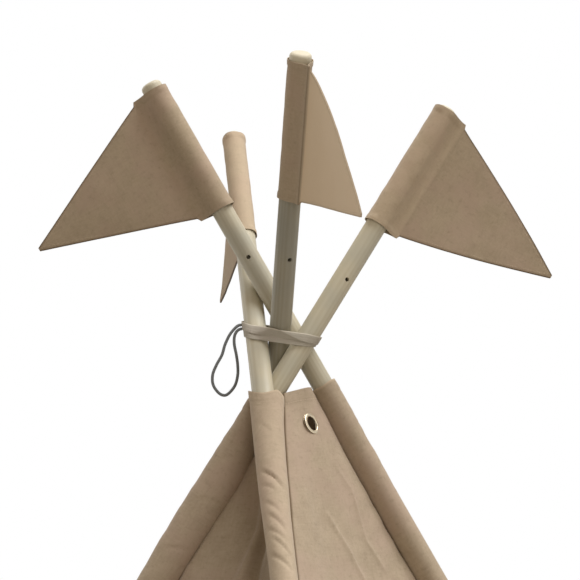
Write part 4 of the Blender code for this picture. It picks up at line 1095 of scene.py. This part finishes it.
for index, hand in enumerate(("left", "right")):
    def half(up, t, index=index):
        """Shares across one half of the door, up to half the gap between the flaps."""
        wide = np.linalg.norm(np.subtract(*side_edges("front", up[:, 0])), axis=1)[:, None]
        inner = 0.5 - DOOR_GAP / 2 / wide
        return inner * t if index == 0 else 1 - inner * (1 - t)

    flap = hang_canvas("canvas_door_" + hand, "front", ["door_flap_" + hand], np.linspace(0.0, flap_up, 130), 100,
                       x_of=half)
    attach(flap, "door_" + hand)
    middle = side_edges("front", np.array([0.4]))
    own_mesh(flap)
    wide, tall, area = side_size("front", 0.0, flap_up)


# The eyelet
# A stamped brass ring in two halves, pressed through the canvas near the top of the right side. Its rim is a low
# rounded roll on each face round a short barrel.

EYELET_BORE, EYELET_RIM, EYELET_HALF, EYELET_ROLL, EYELET_METAL = 0.0085, 0.0128, 0.0018, 0.0010, 0.0008
EYELET_TURN = np.radians(15.0)


def brass():
    """Pale plated brass with fine handling marks."""
    material, tree, shader = new_material("pale_brass", 0.28, 1.0)
    marks = noise(tree, object_place(tree), 500.0, 4.0)
    tree.links.new(mix_colour(tree, marks, (0.66, 0.57, 0.43, 1), (0.48, 0.40, 0.28, 1)), shader.inputs["Base Color"])
    tree.links.new(ramp(tree, marks, 0.3, 0.7, 0.28, 0.42), shader.inputs["Roughness"])
    return material


ring = node_points("eyelet")
eyelet_way = np.linalg.svd(ring - ring.mean(0), full_matrices=False)[2][2]
eyelet_way = eyelet_way * np.sign(eyelet_way @ out["front_right"] + eyelet_way @ out["back_right"])
eyelet_way = np.array(Matrix.Rotation(EYELET_TURN, 3, "Z") @ Vector(eyelet_way))
eyelet_side = np.cross((0.0, 0.0, 1.0), eyelet_way)
eyelet_side /= np.linalg.norm(eyelet_side)
eyelet_up = np.cross(eyelet_way, eyelet_side)
middle_radius, roll = (EYELET_BORE + EYELET_RIM) / 2, (EYELET_RIM - EYELET_BORE) / 2
face_height = EYELET_HALF - EYELET_ROLL
inner_wall, inner_face = EYELET_BORE + EYELET_METAL, face_height - 0.0002
section = [(middle_radius + roll * np.cos(b), face_height + EYELET_ROLL * np.sin(b))
           for b in np.linspace(0.0, np.pi, 15)]
section = section + [(EYELET_BORE + 0.0001, 0.0)] + [(r, -h) for r, h in section[::-1]]
section += [(EYELET_RIM - 0.0004, -inner_face), (inner_wall, -inner_face), (inner_wall, inner_face),
            (EYELET_RIM - 0.0004, inner_face)]
section = np.array(section + section[:1])
turn = np.arange(96) * 2 * np.pi / 96
spokes = np.cos(turn)[None, :, None] * eyelet_side + np.sin(turn)[None, :, None] * eyelet_up
points = eyelet_centre + section[:, :1, None] * spokes + section[:, 1:, None] * eyelet_way
chart = lay_out(np.append(turn, 2 * np.pi)[None, :] * 0.01, np.linspace(0, 0.02, len(section))[:, None])
eyelet = settle(surface("brass_eyelet", points, chart, around=True), 40.0, 1e-7)
eyelet.data.materials.append(brass())
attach(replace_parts(eyelet, "eyelet"), "front_right")


# Flags
# Each flag is one cut of canvas folded double over the pole's end: a sleeve pinched to a seam, and beyond it a
# pennant of both layers, sewn along its edges, that tapers and droops to a blunt tip.

FLAG_SEAM, FLAG_CANVAS, FLAG_FACE = 0.027, 0.0007, 0.0005
FLAG_HILLS = ((0.0022, 0.060), (0.0007, 0.018))

# Each flag: bearing, top and bottom from the pole's end, reach, tip's drop, droop, curl, bow, belly and sleeve radius
FLAG_CUTS = {"front_right": (178.1, -0.0130, -0.1734, 0.205, 0.102, 0.000, 0.0105, 0.004, 0.000, 0.0134),
             "back_right": (168.5, -0.0030, -0.1645, 0.2080, 0.095, 0.004, 0.000, 0.005, 0.000, 0.0156),
             "back_left": (192.9, -0.0010, -0.1618, 0.2055, 0.100, 0.013, 0.000, 0.009, 0.002, 0.0136),
             "front_left": (185.4, -0.0030, -0.1652, 0.2100, 0.095, 0.004, 0.000, 0.005, 0.0036, 0.0146)}

# How much painted light pales each flag's sleeve and its pennant; on the back left pennant it stands in for light
# shining through the cloth
FLAG_PAINTED_LIGHT = {"front_right": (0.30, 0.15), "back_right": (0.0, 0.0), "back_left": (0.08, 0.85), "front_left": (0.15, 0.0)}


def flag_path(reach, radius):
    """The cloth's way in a flag's own plane: from the tip along one face, by a soft cubic on to the pole, round it,
    and back along the other face to the tip."""
    spread = np.arccos(radius / FLAG_SEAM)
    far = reach - (reach - FLAG_SEAM) * np.linspace(0, 1, 60)
    touch, leave = radius * np.array([np.cos(spread), np.sin(spread)]), np.array([FLAG_SEAM, FLAG_FACE])
    pulls = leave - [0.008, 0.0], touch + 0.004 * np.array([np.sin(spread), -np.cos(spread)])
    s = np.linspace(0, 1, 20)[1:, None]
    join = leave * (1 - s) ** 3 + 3 * pulls[0] * s * (1 - s) ** 2 + 3 * pulls[1] * s ** 2 * (1 - s) + touch * s ** 3
    around = np.linspace(spread, 2 * np.pi - spread, 46)[1:-1]
    one = np.concatenate([np.stack([far, FLAG_FACE + 0 * far], -1), join])
    return np.concatenate([one, radius * np.stack([np.cos(around), np.sin(around)], -1), (one * [1, -1])[::-1]])


def flag(corner, seed):
    """A flag in its pole's own frame: x towards the tip, y through the cloth, z along the pole. Each point of its path
    spreads to a row between the upper and the lower edge, which close in towards the tip."""
    bearing, top, bottom, reach, tip_drop, droop, curl, bow_depth, belly, radius = FLAG_CUTS[corner]
    to_tip = out[corner] * np.cos(np.radians(bearing)) + flank[corner] * np.sin(np.radians(bearing))
    through_cloth = np.cross(way[corner], to_tip)
    pole_end = reach_along(corner, corner + "_pole_upper")[1]
    path, length = flag_path(reach, radius), top - bottom
    x, y = path[:, 0], path[:, 1]
    run = np.concatenate([[0.0], np.cumsum(np.linalg.norm(np.diff(path, axis=0), axis=1))])
    free = np.clip((x - FLAG_SEAM) / (reach - FLAG_SEAM), 0.0, 1.0)
    notch = 0.0035 * smooth_step(free, 0.0, 0.012)
    upper = (top - notch) * (1 - free) - (tip_drop - 0.002) * free + belly * np.sin(np.pi * free)
    lower = (bottom + notch) * (1 - free) - (tip_drop + 0.002) * free - 0.6 * belly * np.sin(np.pi * free)
    upper, lower = upper - droop * free, lower - droop * free
    v = np.linspace(0, 1, 64)[:, None]
    z = upper + (lower - upper) * v
    bow = bow_depth * np.sin(np.pi * free ** 0.6) * np.sin(np.pi * (0.25 + 0.5 * v)) + curl * free ** 2
    waves = free * hills(x + 3.0 + 0 * v, z + 2.0, FLAG_HILLS, seed) * (1 - 0.6 * free)
    inside = np.minimum(v, 1 - v) * (upper - lower)
    plump = np.sqrt(np.clip(np.minimum(inside, (1 - free) * 0.18) / 0.02, 0, 1))
    puff = 0.0006 * np.sign(y) * plump * smooth_step(free, 0.0, 0.15)
    ends = np.minimum(v, 1 - v) * length
    hemmed = smooth_step(-ends, -0.0068, -0.0060)
    snug = (0.0003 * soft_noise(run * 1.0 + 5 + 0 * v, z + 2.0, 0.012, seed + 2) + 0.0006 * hemmed
            + 0.0007 * hemmed * soft_noise(run * 1.0 + 3 + 0 * v, 0 * z + 1.0, 0.009, seed + 4)) * (free <= 0)
    scale = 1 + snug / np.maximum(np.hypot(x, y), 1e-6)
    points = (foot[corner] + way[corner] * pole_end + (x * scale)[..., None] * to_tip
              + (y * scale + (bow + waves + puff))[..., None] * through_cloth + z[..., None] * way[corner])
    piece = surface(corner + "_canvas_flag", points, lay_out(run[None, :], z))
    row = np.where(free > 0, np.minimum(np.abs(inside - 0.004), np.abs(free * 0.178 - 0.002)), np.abs(ends - 0.006))
    mark(piece, "sewn", lay_out(run[None, :] + z, row, 0 * z))
    # Painted shade: dark lines along the seam between sleeve and pennant, along the pennant's edges and along the
    # sleeve's hems.
    seam_shade, edge_shade = (0.45, 0.45) if corner == "back_left" else (0.0, 0.95)
    seam_painted_shade = seam_shade * np.exp(-((np.abs(x - FLAG_SEAM) + 0 * z) / 0.0015) ** 2)
    edge_painted_shade = np.where(free > 0, edge_shade * np.exp(-(inside / 0.0016) ** 2),
                           0.40 * np.exp(-((ends - 0.0066) / 0.0007) ** 2))
    mark(piece, "crease_and_painted_shade", np.maximum(seam_painted_shade, edge_painted_shade))
    # Painted light: each flag's sleeve and pennant are paled by their shares.
    mark(piece, "pale_rim_and_painted_light", np.interp(free, (0.0, 0.01), FLAG_PAINTED_LIGHT[corner]) + 0 * z)
    settle(piece, thickness=FLAG_CANVAS)
    piece.data.materials.append(flag_canvas)
    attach(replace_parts(piece, corner + "_flag"), corner + "_pennant")


flag_canvas = cloth("flag_canvas", (0.525, 0.428, 0.310), (0.430, 0.345, 0.245))
for number, corner in enumerate(CORNERS):
    flag(corner, 100 + 10 * number)


# The floor and the light
# A pale studio floor that keeps the tent's shadow, a white room where the camera looks past the tent, one broad soft
# key from above, and weak fills from the right and the left.

FLOOR_HALF, FLOOR_DROP = 9, 0.0002
ground = bpy.data.meshes.new("floor")
ground.from_pydata([(x * FLOOR_HALF, y * FLOOR_HALF, -FLOOR_DROP) for x, y in ((-1, -1), (1, -1), (1, 1), (-1, 1))],
                   [], [(0, 1, 2, 3)])
floor = bpy.data.objects.new("floor", ground)
bpy.context.scene.collection.objects.link(floor)
material, tree, shader = new_material("studio_floor", 0.9)
seen = add_node(tree, "ShaderNodeLightPath")
direct = maths(tree, "MAXIMUM", seen.outputs["Is Camera Ray"], seen.outputs["Is Glossy Ray"])
tree.links.new(mix_colour(tree, direct, (0.24, 0.225, 0.20, 1), (0.86, 0.86, 0.85, 1)), shader.inputs["Base Color"])
ground.materials.append(material)

world = bpy.data.worlds.new("studio")
world.use_nodes = True
tree = world.node_tree
tree.nodes.clear()
seen = add_node(tree, "ShaderNodeLightPath")
direct = maths(tree, "MAXIMUM", maths(tree, "MAXIMUM", seen.outputs["Is Camera Ray"], seen.outputs["Is Glossy Ray"]),
               seen.outputs["Is Transmission Ray"])
room = add_node(tree, "ShaderNodeBackground", [("Color", (1.0, 0.81, 0.61, 1)), ("Strength", 0.27)])
white = add_node(tree, "ShaderNodeBackground", [("Color", (1, 1, 1, 1)), ("Strength", 1.0)])
both = add_node(tree, "ShaderNodeMixShader", [(0, direct), (1, room.outputs[0]), (2, white.outputs[0])])
add_node(tree, "ShaderNodeOutputWorld", [("Surface", both.outputs[0])])
bpy.context.scene.world = world


def lamp(name, toward, strength, softness, colour=(1, 1, 1)):
    """A far soft lamp that shines from the given direction."""
    light = bpy.data.lights.new(name, "SUN")
    light.energy, light.angle, light.color = strength, np.radians(softness), colour
    carrier = bpy.data.objects.new(name, light)
    bpy.context.scene.collection.objects.link(carrier)
    carrier.matrix_world = Vector(toward).to_track_quat("Z", "Y").to_matrix().to_4x4()


lamp("key", (0.34, 0.12, 0.93), 1.08 * np.pi, 40.0)
lamp("right_fill", (0.80, -0.50, 0.20), 0.12 * np.pi, 30.0, (1.0, 0.94, 0.86))
lamp("left_fill", (-0.90, -0.10, 0.30), 0.22 * np.pi, 40.0)

bpy.context.scene.view_settings.view_transform = "Standard"
